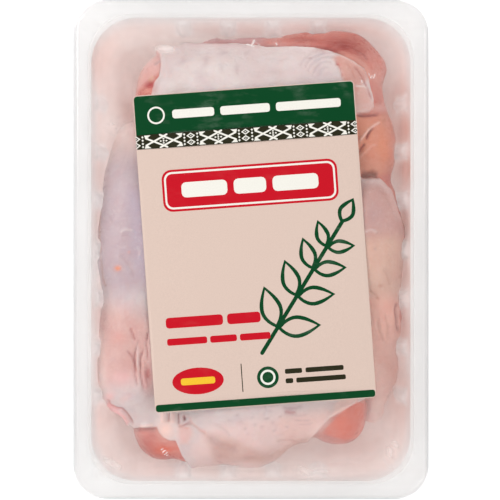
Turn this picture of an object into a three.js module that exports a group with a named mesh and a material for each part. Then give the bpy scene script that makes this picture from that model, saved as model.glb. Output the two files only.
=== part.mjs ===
// A sealed retail pack of two raw chicken leg quarters: a ribbed white tray with a flat rim, the two legs
// lying head to tail in it, a clear film sealed to the rim, and a printed label stuck on the film.
// Millimetres, +Z up. The origin is the middle of the tray's base. +Y is the pack's length, towards the
// label's head, and +X is to the right of someone reading the label.
import * as THREE from "three";

// Driving dimensions
const TRAY_LENGTH = 262;
const TRAY_WIDTH = 186.5;
const TRAY_HEIGHT = 50;
const SHEET = 0.9; // thickness of the tray's formed sheet
const RIM_WIDTH = 9.5;
const RIM_CORNER = 17.5; // outer corner radius of the rim
const RIM_LIP = 2.2; // how far the rim's edge turns down
const MOUTH_CORNER = 24; // corner radius of the cavity at the rim
const WALL_LEAN = 6; // how far a wall comes in between the rim and the base
const FILM_SHEET = 0.3;
const FILM_RISE = 2.4; // how far the legs push the film up in the middle
const LABEL_WIDTH = 116;
const LABEL_LENGTH = 166.5;
const LABEL_SHEET = 0.25;
const LABEL_TURN = 4.1; // degrees, anticlockwise seen from above
const LABEL_AT = [1.9, 1.4];
const LABEL_CORNER = 2.2;

// The ribs that stiffen the walls, as bumps towards the cavity
const RIB = { width: 9, crest: 4, depth: 1.8, foot: 6, top: TRAY_HEIGHT - 4, fade: 6 };
const LONG_RIBS = { count: 7, pitch: 26 };
const SHORT_RIBS = { count: 4, pitch: 24 };

// Clearances between pieces that touch in the real pack
const FILM_GAP = 0.05;
const LABEL_GAP = 0.15;
const MEAT_GAP = 0.6;

const MOUTH = { x: TRAY_WIDTH / 2 - RIM_WIDTH, y: TRAY_LENGTH / 2 - RIM_WIDTH };
const FILM_BOTTOM = TRAY_HEIGHT + FILM_GAP;

// ---------------------------------------------------------------- rounded outlines and lofted skins

// Places along one side, from -1 to 1 of its straight stretch, with four at each rib.
function ribbedStations(straight, ribs) {
  const across = [-RIB.width / 2, -RIB.crest / 2, RIB.crest / 2, RIB.width / 2];
  const stations = [];
  for (let i = 0; i < ribs.count; i++) {
    const middle = (i - (ribs.count - 1) / 2) * ribs.pitch;
    for (const offset of across) {
      const onRib = Math.abs(offset) < RIB.width / 2 ? 1 : 0;
      stations.push({ share: (middle + offset) / straight, rib: onRib });
    }
  }
  return stations;
}

function evenStations(count) {
  return Array.from({ length: count }, (_, i) => ({ share: (2 * (i + 1)) / (count + 1) - 1, rib: 0 }));
}

// A rounded rectangle, anticlockwise from the lower right corner. push moves rib stations inwards.
function roundedOutline(halfX, halfY, corner, layout, push = 0) {
  const straight = { x: halfX - corner, y: halfY - corner };
  const points = [];
  const sides = [
    { along: [0, 1], out: [1, 0], half: halfX, run: straight.y, stations: layout.longSide },
    { along: [-1, 0], out: [0, 1], half: halfY, run: straight.x, stations: layout.shortSide },
    { along: [0, -1], out: [-1, 0], half: halfX, run: straight.y, stations: layout.longSide },
    { along: [1, 0], out: [0, -1], half: halfY, run: straight.x, stations: layout.shortSide },
  ];
  for (const side of sides) {
    for (const station of side.stations) {
      const away = side.half - station.rib * push;
      points.push([0, 1].map((k) => side.along[k] * station.share * side.run + side.out[k] * away));
    }
    const centre = [0, 1].map((k) => side.along[k] * side.run + side.out[k] * (side.half - corner));
    for (let i = 0; i <= layout.arcSteps; i++) {
      const turn = (i / layout.arcSteps) * (Math.PI / 2);
      points.push(
        [0, 1].map((k) => centre[k] + corner * (side.out[k] * Math.cos(turn) + side.along[k] * Math.sin(turn))),
      );
    }
  }
  return points;
}

// Joins rings of equal length into one closed surface, with a single point at each end.
function skinOf(firstPoint, rings, lastPoint) {
  const count = rings[0].length;
  const positions = [firstPoint, ...rings.flat(), lastPoint].flat();
  const at = (ring, j) => 1 + ring * count + (j % count);
  const last = 1 + rings.length * count;
  const index = [];
  for (let j = 0; j < count; j++) {
    index.push(0, at(0, j + 1), at(0, j));
    for (let i = 0; i + 1 < rings.length; i++) {
      index.push(at(i, j), at(i, j + 1), at(i + 1, j));
      index.push(at(i, j + 1), at(i + 1, j + 1), at(i + 1, j));
    }
    index.push(at(rings.length - 1, j), at(rings.length - 1, j + 1), last);
  }
  const geometry = new THREE.BufferGeometry();
  geometry.setAttribute("position", new THREE.Float32BufferAttribute(positions, 3));
  geometry.setIndex(index);
  geometry.computeVertexNormals();
  return geometry;
}

// ---------------------------------------------------------------- tray

const TRAY_LAYOUT = {
  longSide: ribbedStations(MOUTH.y - MOUTH_CORNER, LONG_RIBS),
  shortSide: ribbedStations(MOUTH.x - MOUTH_CORNER, SHORT_RIBS),
  arcSteps: 7,
};

// One level of the tray: inset is measured inwards from the cavity's mouth.
function trayRing(inset, z, ribShare = 0, corner = Math.max(MOUTH_CORNER - inset, 6)) {
  const push = RIB.depth * ribShare;
  return roundedOutline(MOUTH.x - inset, MOUTH.y - inset, corner, TRAY_LAYOUT, push).map(([x, y]) => [x, y, z]);
}

function trayGeometry() {
  const foot = { outer: WALL_LEAN + 3, inner: WALL_LEAN + 13 };
  const channel = { rise: 1.6, crest: foot.inner + 4, inner: foot.inner + 8 };
  const lean = (z) => WALL_LEAN * (1 - z / TRAY_HEIGHT);
  const wall = (z, ribShare, sheet) => trayRing(lean(z) - sheet, z, ribShare);
  const crests = [RIB.foot + RIB.fade, RIB.top - RIB.fade];
  const edge = -RIM_WIDTH;
  const underside = [
    trayRing(channel.inner, 0),
    trayRing(channel.crest, channel.rise),
    trayRing(foot.inner, 0),
    trayRing(foot.outer, 0),
    trayRing(WALL_LEAN + 0.4, 1.3),
    wall(RIB.foot, 0, SHEET),
    wall(crests[0], 1, SHEET),
    wall(crests[1], 1, SHEET),
    wall(RIB.top, 0, SHEET),
    trayRing(-SHEET - 0.4, TRAY_HEIGHT - SHEET),
    trayRing(edge + SHEET, TRAY_HEIGHT - SHEET, 0, RIM_CORNER - SHEET),
    trayRing(edge + SHEET, TRAY_HEIGHT - RIM_LIP, 0, RIM_CORNER - SHEET),
  ];
  const upside = [
    trayRing(edge, TRAY_HEIGHT - RIM_LIP, 0, RIM_CORNER),
    trayRing(edge, TRAY_HEIGHT - 0.5, 0, RIM_CORNER),
    trayRing(edge + 0.5, TRAY_HEIGHT, 0, RIM_CORNER - 0.5),
    trayRing(-0.5, TRAY_HEIGHT),
    wall(RIB.top, 0, 0),
    wall(crests[1], 1, 0),
    wall(crests[0], 1, 0),
    wall(RIB.foot, 0, 0),
    trayRing(WALL_LEAN + 1.2, 2.1),
    trayRing(foot.outer + 0.6, SHEET),
    trayRing(foot.inner - 0.3, SHEET),
    trayRing(channel.crest, channel.rise + SHEET),
    trayRing(channel.inner + 0.3, SHEET),
  ];
  return skinOf([0, 0, 0], [...underside, ...upside], [0, 0, SHEET]);
}

// ---------------------------------------------------------------- film and label

// How far the film stands above the rim at a place seen from above.
function filmRise(x, y) {
  const u = Math.min(Math.abs(x) / MOUTH.x, 1);
  const v = Math.min(Math.abs(y) / MOUTH.y, 1);
  return FILM_RISE * (1 - u ** 4) * (1 - v ** 4);
}

// A thin sheet with a rounded outline, laid over the film's form. lift is its underside above the film's.
function sheetGeometry({ halfX, halfY, corner, layout, steps, lift, thickness, turn = 0, at = [0, 0] }) {
  const cos = Math.cos(turn);
  const sin = Math.sin(turn);
  const outline = roundedOutline(halfX, halfY, corner, layout);
  const placed = (x, y, raise) => {
    const px = at[0] + x * cos - y * sin;
    const py = at[1] + x * sin + y * cos;
    return [px, py, FILM_BOTTOM + lift + raise + filmRise(px, py)];
  };
  const shares = Array.from({ length: steps }, (_, i) => (i + 1) / steps);
  const ring = (share, raise) => outline.map(([x, y]) => placed(x * share, y * share, raise));
  const rings = [...shares.map((s) => ring(s, 0)), ...shares.reverse().map((s) => ring(s, thickness))];
  return skinOf(placed(0, 0, 0), rings, placed(0, 0, thickness));
}

function filmGeometry() {
  const setback = 0.8; // from the rim's outer edge
  return sheetGeometry({
    halfX: TRAY_WIDTH / 2 - setback,
    halfY: TRAY_LENGTH / 2 - setback,
    corner: RIM_CORNER - setback,
    layout: { longSide: evenStations(5), shortSide: evenStations(4), arcSteps: 5 },
    steps: 6,
    lift: 0,
    thickness: FILM_SHEET,
  });
}

function labelGeometry() {
  return sheetGeometry({
    halfX: LABEL_WIDTH / 2,
    halfY: LABEL_LENGTH / 2,
    corner: LABEL_CORNER,
    layout: { longSide: evenStations(5), shortSide: evenStations(4), arcSteps: 2 },
    steps: 4,
    lift: FILM_SHEET + LABEL_GAP,
    thickness: LABEL_SHEET,
    turn: THREE.MathUtils.degToRad(LABEL_TURN),
    at: LABEL_AT,
  });
}

// ---------------------------------------------------------------- legs, as pressed implicit forms

// Smooth union and smooth intersection of two distances over a width.
function join(a, b, width) {
  const near = Math.max(width - Math.abs(a - b), 0) / width;
  return Math.min(a, b) - (near * near * width) / 4;
}

function press(a, b, width) {
  return -join(-a, -b, width);
}

// Distance to a lobe of muscle: an ellipsoid turned about Z.
function lobe(p, { at, semi, turn = 0 }) {
  const angle = THREE.MathUtils.degToRad(turn);
  const dx = p[0] - at[0];
  const dy = p[1] - at[1];
  const local = [
    (dx * Math.cos(angle) + dy * Math.sin(angle)) / semi[0],
    (dy * Math.cos(angle) - dx * Math.sin(angle)) / semi[1],
    (p[2] - at[2]) / semi[2],
  ];
  const scaled = Math.hypot(...local);
  const slope = Math.hypot(...local.map((v, i) => v / semi[i]));
  return slope > 1e-9 ? (scaled * (scaled - 1)) / slope : -Math.min(...semi);
}

// Distance to a limb that runs through stations, each a point and a radius.
function limb(p, stations) {
  let best = Infinity;
  for (let i = 0; i + 1 < stations.length; i++) {
    const [a, b] = [stations[i], stations[i + 1]];
    const along = [0, 1, 2].map((k) => b.at[k] - a.at[k]);
    const from = [0, 1, 2].map((k) => p[k] - a.at[k]);
    const length2 = along[0] ** 2 + along[1] ** 2 + along[2] ** 2;
    const dot = from[0] * along[0] + from[1] * along[1] + from[2] * along[2];
    const t = Math.min(Math.max(dot / length2, 0), 1);
    const off = Math.hypot(from[0] - t * along[0], from[1] - t * along[1], from[2] - t * along[2]);
    best = join(best, off - (a.r + (b.r - a.r) * t), 9);
  }
  return best;
}

// The two legs, lying head to tail. Each has its thigh across one end of the tray, its knee in a corner,
// and its drumstick folded back along a long side.
const UPPER_LEG = {
  thigh: [
    { at: [-3, 60, 26], semi: [53, 48, 28], turn: -3 },
    { at: [30, 77, 20], semi: [40, 38, 23], turn: -6 },
    { at: [-43, 74, 17], semi: [21, 29, 20], turn: -10 },
    { at: [-34, 30, 24], semi: [29, 30, 26], turn: 20 },
    { at: [14, 22, 24], semi: [40, 30, 26] },
  ],
  rolls: [],
  knee: { at: [55, 57, 26], semi: [21, 22, 24] },
  calf: { at: [50, 7, 31], semi: [36, 36, 24.5] },
  shank: [
    { at: [54, 14, 27], r: 24 },
    { at: [60, -38, 25], r: 19 },
    { at: [66, -62, 20], r: 14 },
    { at: [67, -73, 18], r: 12 },
  ],
};
const LOWER_LEG = {
  thigh: [
    { at: [-3, -62, 26], semi: [54, 46, 28], turn: -3 },
    { at: [47, -83, 18], semi: [15, 18, 18] },
    { at: [-48, -91, 17], semi: [17, 20, 19] },
    { at: [-8, -24, 24], semi: [42, 29, 26] },
    { at: [30, -40, 24], semi: [28, 28, 25], turn: 20 },
  ],
  // The roll of skin along the tray's end, and the knob of fat beside it.
  rolls: [
    [{ at: [-30, -93, 25], r: 18 }, { at: [0, -96, 26], r: 17.5 }, { at: [34, -87, 25], r: 13 }],
    [{ at: [-42, -92, 36], r: 7.5 }, { at: [-38, -88, 37], r: 8 }],
  ],
  knee: { at: [-58, -58, 26], semi: [22, 27, 24] },
  calf: { at: [-50, 3, 31], semi: [35, 38, 24.5] },
  shank: [
    { at: [-56, 0, 27], r: 24 },
    { at: [-58, 34, 25], r: 19 },
    { at: [-58, 52, 19], r: 13 },
    { at: [-57, 60, 17], r: 12 },
  ],
};

// Slow swells that keep the flesh from looking turned.
function swell([x, y, z]) {
  return 1.1 * Math.sin(x / 13 + 0.7) * Math.sin(y / 17 + 1.9) + 0.7 * Math.sin(x / 7.5 + y / 9.5 + z / 11);
}

function legForm(p, leg) {
  let thigh = leg.thigh.map((part) => lobe(p, part)).reduce((a, b) => join(a, b, 8));
  for (const roll of leg.rolls) thigh = join(thigh, limb(p, roll), 4);
  const drumstick = join(lobe(p, leg.calf), limb(p, leg.shank), 12);
  return join(join(thigh, lobe(p, leg.knee), 16), drumstick, 7) + swell(p);
}

// Distance past the inside of the tray, the film and the tray's floor, with the clearances taken off.
function cavity([x, y, z]) {
  const ribClear = RIB.depth * Math.min(Math.max((RIB.top - z) / RIB.fade, 0), 1);
  const inset = WALL_LEAN * (1 - z / TRAY_HEIGHT) + ribClear + MEAT_GAP;
  const corner = MOUTH_CORNER - WALL_LEAN / 2;
  const past = [Math.abs(x) - (MOUTH.x - inset - corner), Math.abs(y) - (MOUTH.y - inset - corner)];
  const outside = Math.hypot(Math.max(past[0], 0), Math.max(past[1], 0));
  const wall = outside + Math.min(Math.max(...past), 0) - corner;
  const lid = z - (FILM_BOTTOM + filmRise(x, y) - MEAT_GAP);
  const floor = SHEET + 2.2 - z;
  return press(wall, press(lid, floor, 1), 5);
}

function pressedLeg(leg, other) {
  return (p) => {
    const own = legForm(p, leg);
    const between = (own - legForm(p, other)) / 2 + MEAT_GAP;
    return press(press(own, cavity(p), 4), between, 4);
  };
}

// Surface nets: a vertex in each cell that the surface crosses, and a quad across each crossing edge.
function formGeometry(form, low, high, cell) {
  const count = [0, 1, 2].map((k) => Math.ceil((high[k] - low[k]) / cell) + 1);
  const id = (i, j, k) => (k * count[1] + j) * count[0] + i;
  const place = (i, j, k) => [low[0] + i * cell, low[1] + j * cell, low[2] + k * cell];
  const values = new Float64Array(count[0] * count[1] * count[2]);
  for (let k = 0; k < count[2]; k++)
    for (let j = 0; j < count[1]; j++)
      for (let i = 0; i < count[0]; i++) values[id(i, j, k)] = form(place(i, j, k));

  const corners = Array.from({ length: 8 }, (_, c) => [c & 1, (c >> 1) & 1, (c >> 2) & 1]);
  const edges = [];
  for (let a = 0; a < 8; a++) for (const bit of [1, 2, 4]) if (!(a & bit)) edges.push([a, a | bit]);

  const positions = [];
  const vertexOf = new Map();
  for (let k = 0; k + 1 < count[2]; k++)
    for (let j = 0; j + 1 < count[1]; j++)
      for (let i = 0; i + 1 < count[0]; i++) {
        const v = corners.map(([a, b, c]) => values[id(i + a, j + b, k + c)]);
        const crossings = edges.filter(([a, b]) => v[a] < 0 !== v[b] < 0);
        if (!crossings.length) continue;
        const mean = [0, 0, 0];
        for (const [a, b] of crossings) {
          const t = v[a] / (v[a] - v[b]);
          for (let n = 0; n < 3; n++)
            mean[n] += (corners[a][n] + t * (corners[b][n] - corners[a][n])) / crossings.length;
        }
        vertexOf.set(id(i, j, k), positions.length / 3);
        positions.push(...place(i + mean[0], j + mean[1], k + mean[2]));
      }

  const index = [];
  for (let k = 1; k + 1 < count[2]; k++)
    for (let j = 1; j + 1 < count[1]; j++)
      for (let i = 1; i + 1 < count[0]; i++) {
        const here = values[id(i, j, k)] < 0;
        const steps = [
          [[1, 0, 0], [0, 1, 0], [0, 0, 1]],
          [[0, 1, 0], [0, 0, 1], [1, 0, 0]],
          [[0, 0, 1], [1, 0, 0], [0, 1, 0]],
        ];
        for (const [along, u, w] of steps) {
          if (values[id(i + along[0], j + along[1], k + along[2])] < 0 === here) continue;
          const quad = [[0, 0], [1, 0], [1, 1], [0, 1]].map(([a, b]) =>
            vertexOf.get(id(i - a * u[0] - b * w[0], j - a * u[1] - b * w[1], k - a * u[2] - b * w[2])),
          );
          const [a, b, c, d] = here ? quad : quad.reverse();
          index.push(a, b, c, a, c, d);
        }
      }
  const geometry = new THREE.BufferGeometry();
  geometry.setAttribute("position", new THREE.Float32BufferAttribute(positions, 3));
  geometry.setIndex(index);
  geometry.computeVertexNormals();
  return geometry;
}

function legGeometry(leg, other) {
  const cell = 6.6;
  const low = [-MOUTH.x - cell, -MOUTH.y - cell, -cell];
  const high = [MOUTH.x + cell, MOUTH.y + cell, TRAY_HEIGHT + 2 * cell];
  return formGeometry(pressedLeg(leg, other), low, high, cell);
}

// ---------------------------------------------------------------- the pack

function material(color, roughness, extra = {}) {
  return new THREE.MeshStandardMaterial({ color, roughness, metalness: 0, ...extra });
}

function piece(name, geometry, look) {
  const mesh = new THREE.Mesh(geometry, look);
  mesh.name = name;
  return mesh;
}

const pack = new THREE.Group();
pack.add(
  piece("tray", trayGeometry(), material(0xefece7, 0.35)),
  piece("leg_quarter_upper", legGeometry(UPPER_LEG, LOWER_LEG), material(0xe0bdb6, 0.4)),
  piece("leg_quarter_lower", legGeometry(LOWER_LEG, UPPER_LEG), material(0xdfb9b3, 0.4)),
  piece("lid_film", filmGeometry(), material(0xf4f4f4, 0.1, { transparent: true, opacity: 0.2 })),
  piece("label", labelGeometry(), material(0xe5cdbf, 0.5)),
);
export default pack;
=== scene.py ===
"""A sealed retail tray of two raw chicken leg quarters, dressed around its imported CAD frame.

The shapes are worked out in millimetres, in the frame of the CAD model, and become metres in make_object.
"""

import math

import bpy
import numpy as np
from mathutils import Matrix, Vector
from mathutils.geometry import delaunay_2d_cdt


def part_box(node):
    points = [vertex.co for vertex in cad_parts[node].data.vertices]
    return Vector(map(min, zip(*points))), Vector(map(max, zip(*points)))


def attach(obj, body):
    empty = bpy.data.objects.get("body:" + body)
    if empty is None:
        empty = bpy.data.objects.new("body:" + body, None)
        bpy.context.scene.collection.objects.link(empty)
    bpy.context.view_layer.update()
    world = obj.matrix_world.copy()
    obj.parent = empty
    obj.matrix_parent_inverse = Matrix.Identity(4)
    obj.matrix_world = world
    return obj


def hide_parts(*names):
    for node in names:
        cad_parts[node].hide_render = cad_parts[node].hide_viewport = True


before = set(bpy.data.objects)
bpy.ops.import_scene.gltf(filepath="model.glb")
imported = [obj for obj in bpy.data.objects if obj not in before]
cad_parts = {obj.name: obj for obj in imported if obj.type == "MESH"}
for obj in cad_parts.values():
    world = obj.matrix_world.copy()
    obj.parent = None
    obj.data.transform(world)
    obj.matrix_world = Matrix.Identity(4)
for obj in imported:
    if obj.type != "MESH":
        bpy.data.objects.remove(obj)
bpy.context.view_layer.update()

MM = 0.001

# ------------------------------------------------------------------ sizes, in mm, as in the CAD model

tray_low, tray_high = (np.array(corner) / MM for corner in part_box("tray"))
TRAY_WIDTH, TRAY_LENGTH, TRAY_HEIGHT = tray_high - tray_low
SHEET = 0.9
RIM_WIDTH = 9.5
RIM_CORNER = 17.5
RIM_LIP = 2.2
PROFILE_STEP = 2.2  # the longest stretch of the tray's profile between two rings
# painted highlight on rib crests, which stay whiter
RIB_HIGHLIGHT = 0.7  # how much of the blush and the stains a rib's crest loses
MOUTH_CORNER = 24.0
WALL_LEAN = 6.0
FOOT_GAP = 0.04  # keeps the base from lying exactly in the plane of the table
MOUTH = np.array([TRAY_WIDTH / 2 - RIM_WIDTH, TRAY_LENGTH / 2 - RIM_WIDTH])
RIB_WIDTH = 9.0
RIB_DEPTH = 1.8
RIB_FOOT = 6.0
RIB_FADE = 6.0
RIB_TOP = TRAY_HEIGHT - 4
LONG_RIBS = (7, 26.0)  # how many, and how far apart
SHORT_RIBS = (4, 24.0)

FILM_RISE = 2.4
FILM_BOTTOM = TRAY_HEIGHT + 0.12
FILM_SHEET = 0.08
FILM_SETBACK = 0.8
FILM_SPACING = 2.8
CLEAR_FOG = 0.004  # the fog where the film lies on the flesh
FILM_FOG = 0.17  # share of light that one face of the film scatters where it stands well clear of the flesh

LABEL_WIDTH = 116.0
LABEL_LENGTH = 166.5
LABEL_SHEET = 0.16
LABEL_TURN = math.radians(4.1)
LABEL_AT = (1.9, 1.4)
LABEL_CORNER = 2.2
LABEL_LIFT = 0.22  # between the film and the label
LABEL_WAVES = ((0.12, 24, 81), (0.05, 9, 82))  # each a height and a length in mm, and a seed
LABEL_SPACING = 2.6
PRINT_EDGE = 0.4  # bare paper round the print
BORDER_BAND = (20.8, 28.3)  # heights of the woven border below the label's top
ORNAMENT_START = 14.5
ORNAMENT_PERIOD = 28.7

FLESH_GAP = 0.35  # between the flesh and what it is pressed against
FLESH_ABOVE_FLOOR = 2.2
FLESH_UNDER_FILM = 0.08
LEG_CELL = 0.75  # of the grid that a leg's surface is found on
LEG_COARSE_STEP = 2.4  # the grid's step in height below LEG_FINE_FROM, where nothing shows
LEG_FINE_FROM = 22.0
TALLEST_RELIEF = 1.5
SKIN_SHOWS = (10, 24)  # heights between which a leg starts to carry what the photo shows from above
SKIN_THICKNESS = 1.9  # how far bare muscle lies below the skin
SKIN_EDGE = (0.7, 2.2, 4.5)  # the rolled edge of the skin: height in mm, then place and width in pixels
PAINT_WANDER = 0.5  # pixels by which painted outlines stray

# ------------------------------------------------------------------ the photo's view

PHOTO_PIXELS = 500
MM_PER_PIXEL = 0.5245  # at the level of the rim
TRAY_CENTRE_PIXEL = (250.9, 249.4)
CAMERA_ABOVE_RIM = 1200.0
FLOOR_HALF = 3000

# The light: a bright dome, dimmer straight overhead where the photographer stands, and two soft boxes
DOME_SIDE = 1.085
DOME_TOP = 0.437
DOME_FADE = (0.80, 0.97)  # heights on the dome, from 0 to 1, between which it dims
SOFT_BOXES = {  # place and size in metres, and watts
    "key": ((-1.1, 0.5, 1.0), 0.8, 11.0),
    "fill": ((1.0, -0.6, 1.2), 1.2, 3.0),
}
FLOOR_GLOW = 0.34

# ------------------------------------------------------------------ colours, linear

WHITE_PLASTIC = (0.915, 0.91, 0.915)
# pink tint of meat juice, with a painted glow of the meat in the wall
BLUSH_AND_GLOW_PLASTIC = (0.95, 0.78, 0.73)
# stronger juice tint with a painted glow of flesh lying against the wall
STAIN_AND_GLOW_PLASTIC = (0.72, 0.36, 0.29)
# painted shade on the rim's outer edge
RIM_EDGE_SHADE = (0.62, 0.64, 0.65)
TRAY_GLOW = 0.6  # the share of light that passes through the tray's wall
PAPER = (0.62, 0.48, 0.415)
PAPER_BACK = (0.80, 0.78, 0.74)
PRINT_GREEN = (0.0015, 0.050, 0.014)
PRINT_DARK = (0.021, 0.020, 0.009)
PRINT_CREAM = (0.76, 0.74, 0.68)
PRINT_RED = (0.50, 0.006, 0.016)
PRINT_YELLOW = (0.78, 0.47, 0.03)

INK_OF_FLESH = {
    "skin": (0.68, 0.575, 0.575),
    # pale skin, also painted highlights on lit ridges
    "pale_and_highlight": (0.73, 0.65, 0.64),
    # painted highlight along lit edges of the skin
    "white": (0.95, 0.90, 0.88),
    "lilac": (0.50, 0.385, 0.43),
    "blue_lilac": (0.46, 0.38, 0.48),
    "rosy": (0.78, 0.57, 0.55),
    "rosy_warm": (0.82, 0.52, 0.47),
    "rose": (0.65, 0.38, 0.35),
    "rose_pale": (0.75, 0.45, 0.42),
    # painted shade beyond the skin's top edge
    "mauve_shade": (0.58, 0.32, 0.34),
    "rose_deep": (0.76, 0.38, 0.30),
    # painted light: a pale veil over low, shaded flesh
    "veil_light": (0.88, 0.70, 0.66),
    "pink_lilac": (0.81, 0.46, 0.47),
    "pink": (0.74, 0.42, 0.39),
    # bruise marks, also painted shade in a hollow and under the skin roll
    "bruise_and_shade": (0.44, 0.31, 0.33),
    # brown marks, also painted shade along the legs' outlines and under the skin roll
    "brown_and_edge_shade": (0.50, 0.25, 0.19),
    "drum_grey": (0.56, 0.32, 0.29),
    "drum_tan": (0.68, 0.42, 0.33),
    "low_rose": (0.79, 0.42, 0.34),
    "coral": (0.76, 0.32, 0.26),
    "curl": (0.98, 0.46, 0.46),
    "fold": (0.66, 0.30, 0.24),
    "pale_flap": (0.76, 0.43, 0.37),
    "knee": (0.70, 0.28, 0.18),
    "orange": (0.78, 0.28, 0.15),
    # fat, also painted highlights on a lit curve and painted light over the label's shadow
    "fat_and_highlight": (0.92, 0.62, 0.55),
    "tallow": (0.72, 0.46, 0.34),
    "muscle": (0.50, 0.080, 0.060),
    # deep muscle, also painted shade next to the skin's top edge
    "deep_muscle_and_shade": (0.31, 0.026, 0.022),
    "muscle_pale": (0.68, 0.21, 0.16),
    "muscle_orange": (0.74, 0.106, 0.034),
    # magenta marks, also painted shade in folds
    "magenta_and_shade": (0.46, 0.14, 0.14),
    # dark blood red, also painted shadow lines under skin edges and in folds
    "blood_and_shadow": (0.32, 0.05, 0.045),
    "blood_red": (0.45, 0.02, 0.03),
    # painted shade in the cleft between knee and drumstick
    "cleft_shade": (0.28, 0.06, 0.02),
}


# ================================================================== small helpers


def smoothstep(low, high, value):
    t = np.clip((value - low) / (high - low), 0, 1)
    return t * t * (3 - 2 * t)


def bell(value, width):
    """1 at value 0, falling smoothly to about 0 at width."""
    return np.exp(-((value / (0.5 * width)) ** 2))


def mix(a, b, share):
    share = np.asarray(share)[..., None]
    return np.asarray(a) * (1 - share) + np.asarray(b) * share


def darker(colour, share):
    return tuple(share * c for c in colour)


def value_noise(points, size, seed):
    """Smooth noise from -1 to 1 over an array of points, with lumps about size mm across."""
    lattice = np.random.default_rng(seed).uniform(-1, 1, (32, 32, 32))
    scaled = np.stack(points, -1) / size + 100.0
    base = np.floor(scaled).astype(int)
    part = scaled - base
    part = part * part * (3 - 2 * part)
    total = np.zeros(scaled.shape[:-1])
    for corner in range(8):
        step = np.array([corner & 1, (corner >> 1) & 1, (corner >> 2) & 1])
        weight = np.prod(np.where(step, part, 1 - part), axis=-1)
        at = (base + step) % 32
        total += weight * lattice[at[..., 0], at[..., 1], at[..., 2]]
    return total


def fractal_noise(points, size, seed, octaves=3):
    layers = [value_noise(points, size / 2**i, seed + i) / 2**i for i in range(octaves)]
    return sum(layers) / sum(0.5**i for i in range(octaves))


def photo_place(points):
    """Where points of the piece fall in the photo, in its pixels."""
    x, y, z = points
    nearness = CAMERA_ABOVE_RIM / (CAMERA_ABOVE_RIM + TRAY_HEIGHT - z) / MM_PER_PIXEL
    return TRAY_CENTRE_PIXEL[0] + x * nearness, TRAY_CENTRE_PIXEL[1] - y * nearness


def make_object(name, vertices_mm, faces, materials, face_material=None, smooth=True):
    """A mesh object in metres from arrays, whose faces all have the same number of corners."""
    faces = np.asarray(faces, dtype=np.int32)
    sides = faces.shape[1]
    mesh = bpy.data.meshes.new(name)
    mesh.vertices.add(len(vertices_mm))
    mesh.vertices.foreach_set("co", (np.asarray(vertices_mm) * MM).astype(np.float32).ravel())
    mesh.loops.add(faces.size)
    mesh.loops.foreach_set("vertex_index", faces.ravel())
    mesh.polygons.add(len(faces))
    mesh.polygons.foreach_set("loop_start", np.arange(0, faces.size, sides, dtype=np.int32))
    for material in materials:
        mesh.materials.append(material)
    if face_material is not None:
        mesh.polygons.foreach_set("material_index", np.asarray(face_material, dtype=np.int32))
    mesh.polygons.foreach_set("use_smooth", np.full(len(faces), smooth))
    mesh.update(calc_edges=True)
    mesh.validate()
    made = bpy.data.objects.new(name, mesh)
    bpy.context.scene.collection.objects.link(made)
    return made


def give_values(made, name, values):
    """Stores one number for each vertex, for the material to read."""
    layer = made.data.attributes.new(name, "FLOAT", "POINT")
    layer.data.foreach_set("value", np.asarray(values, dtype=np.float32))


def give_colours(made, name, colours):
    layer = made.data.color_attributes.new(name, "FLOAT_COLOR", "POINT")
    rgba = np.concatenate([colours, np.ones((len(colours), 1))], axis=1)
    layer.data.foreach_set("color", rgba.astype(np.float32).ravel())


def dress(piece, slot, *nodes):
    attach(piece, "root")
    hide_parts(*nodes)


# ================================================================== materials


class Shader:
    """A material's node tree, with short calls for the nodes used here."""

    def __init__(self, name):
        self.material = bpy.data.materials.new(name)
        self.material.use_nodes = True
        self.tree = self.material.node_tree
        self.bsdf = self.tree.nodes["Principled BSDF"]
        self.output = self.tree.nodes["Material Output"]

    def node(self, kind, inputs=None, **settings):
        made = self.tree.nodes.new(kind)
        for key, value in settings.items():
            setattr(made, key, value)
        for key, value in (inputs or {}).items():
            self.put(made.inputs[key], value)
        return made

    def put(self, socket, value):
        if isinstance(value, bpy.types.NodeSocket):
            self.tree.links.new(value, socket)
        elif isinstance(value, (tuple, list)) and len(value) == 3 and socket.type == "RGBA":
            socket.default_value = (*value, 1)
        else:
            socket.default_value = value

    def set(self, **inputs):
        for key, value in inputs.items():
            self.put(self.bsdf.inputs[key.replace("_", " ")], value)

    def attribute(self, name):
        return self.node("ShaderNodeAttribute", attribute_name=name)

    def value(self, name):
        return self.attribute(name).outputs["Fac"]

    def place(self, stretch=(1, 1, 1)):
        """Positions in the piece's own frame, in mm."""
        coords = self.node("ShaderNodeTexCoord").outputs["Object"]
        scale = tuple(1000.0 / s for s in stretch)
        return self.node("ShaderNodeMapping", {"Vector": coords, "Scale": scale}).outputs["Vector"]

    def noise(self, size, detail=3.0, roughness=0.55, stretch=(1, 1, 1)):
        """Noise from 0 to 1 with lumps about size mm across."""
        inputs = {"Vector": self.place(stretch), "Scale": 1 / size, "Detail": detail, "Roughness": roughness}
        return self.node("ShaderNodeTexNoise", inputs).outputs["Fac"]

    def math(self, operation, a, b=0.0):
        made = self.node("ShaderNodeMath", operation=operation)
        self.put(made.inputs[0], a)
        self.put(made.inputs[1], b)
        return made.outputs[0]

    def spread(self, value, low, high, out_low=0.0, out_high=1.0):
        inputs = {"Value": value, "From Min": low, "From Max": high, "To Min": out_low, "To Max": out_high}
        return self.node("ShaderNodeMapRange", inputs, clamp=True).outputs["Result"]

    def blend(self, share, a, b, blend_type="MIX"):
        made = self.node("ShaderNodeMix", data_type="RGBA", blend_type=blend_type)
        self.put(made.inputs[0], share)
        self.put(made.inputs[6], a)
        self.put(made.inputs[7], b)
        return made.outputs[2]

    def bump(self, height, distance_mm, strength=1.0, after=None):
        inputs = {"Height": height, "Distance": distance_mm * MM, "Strength": strength}
        if after is not None:
            inputs["Normal"] = after
        return self.node("ShaderNodeBump", inputs).outputs["Normal"]


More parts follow.
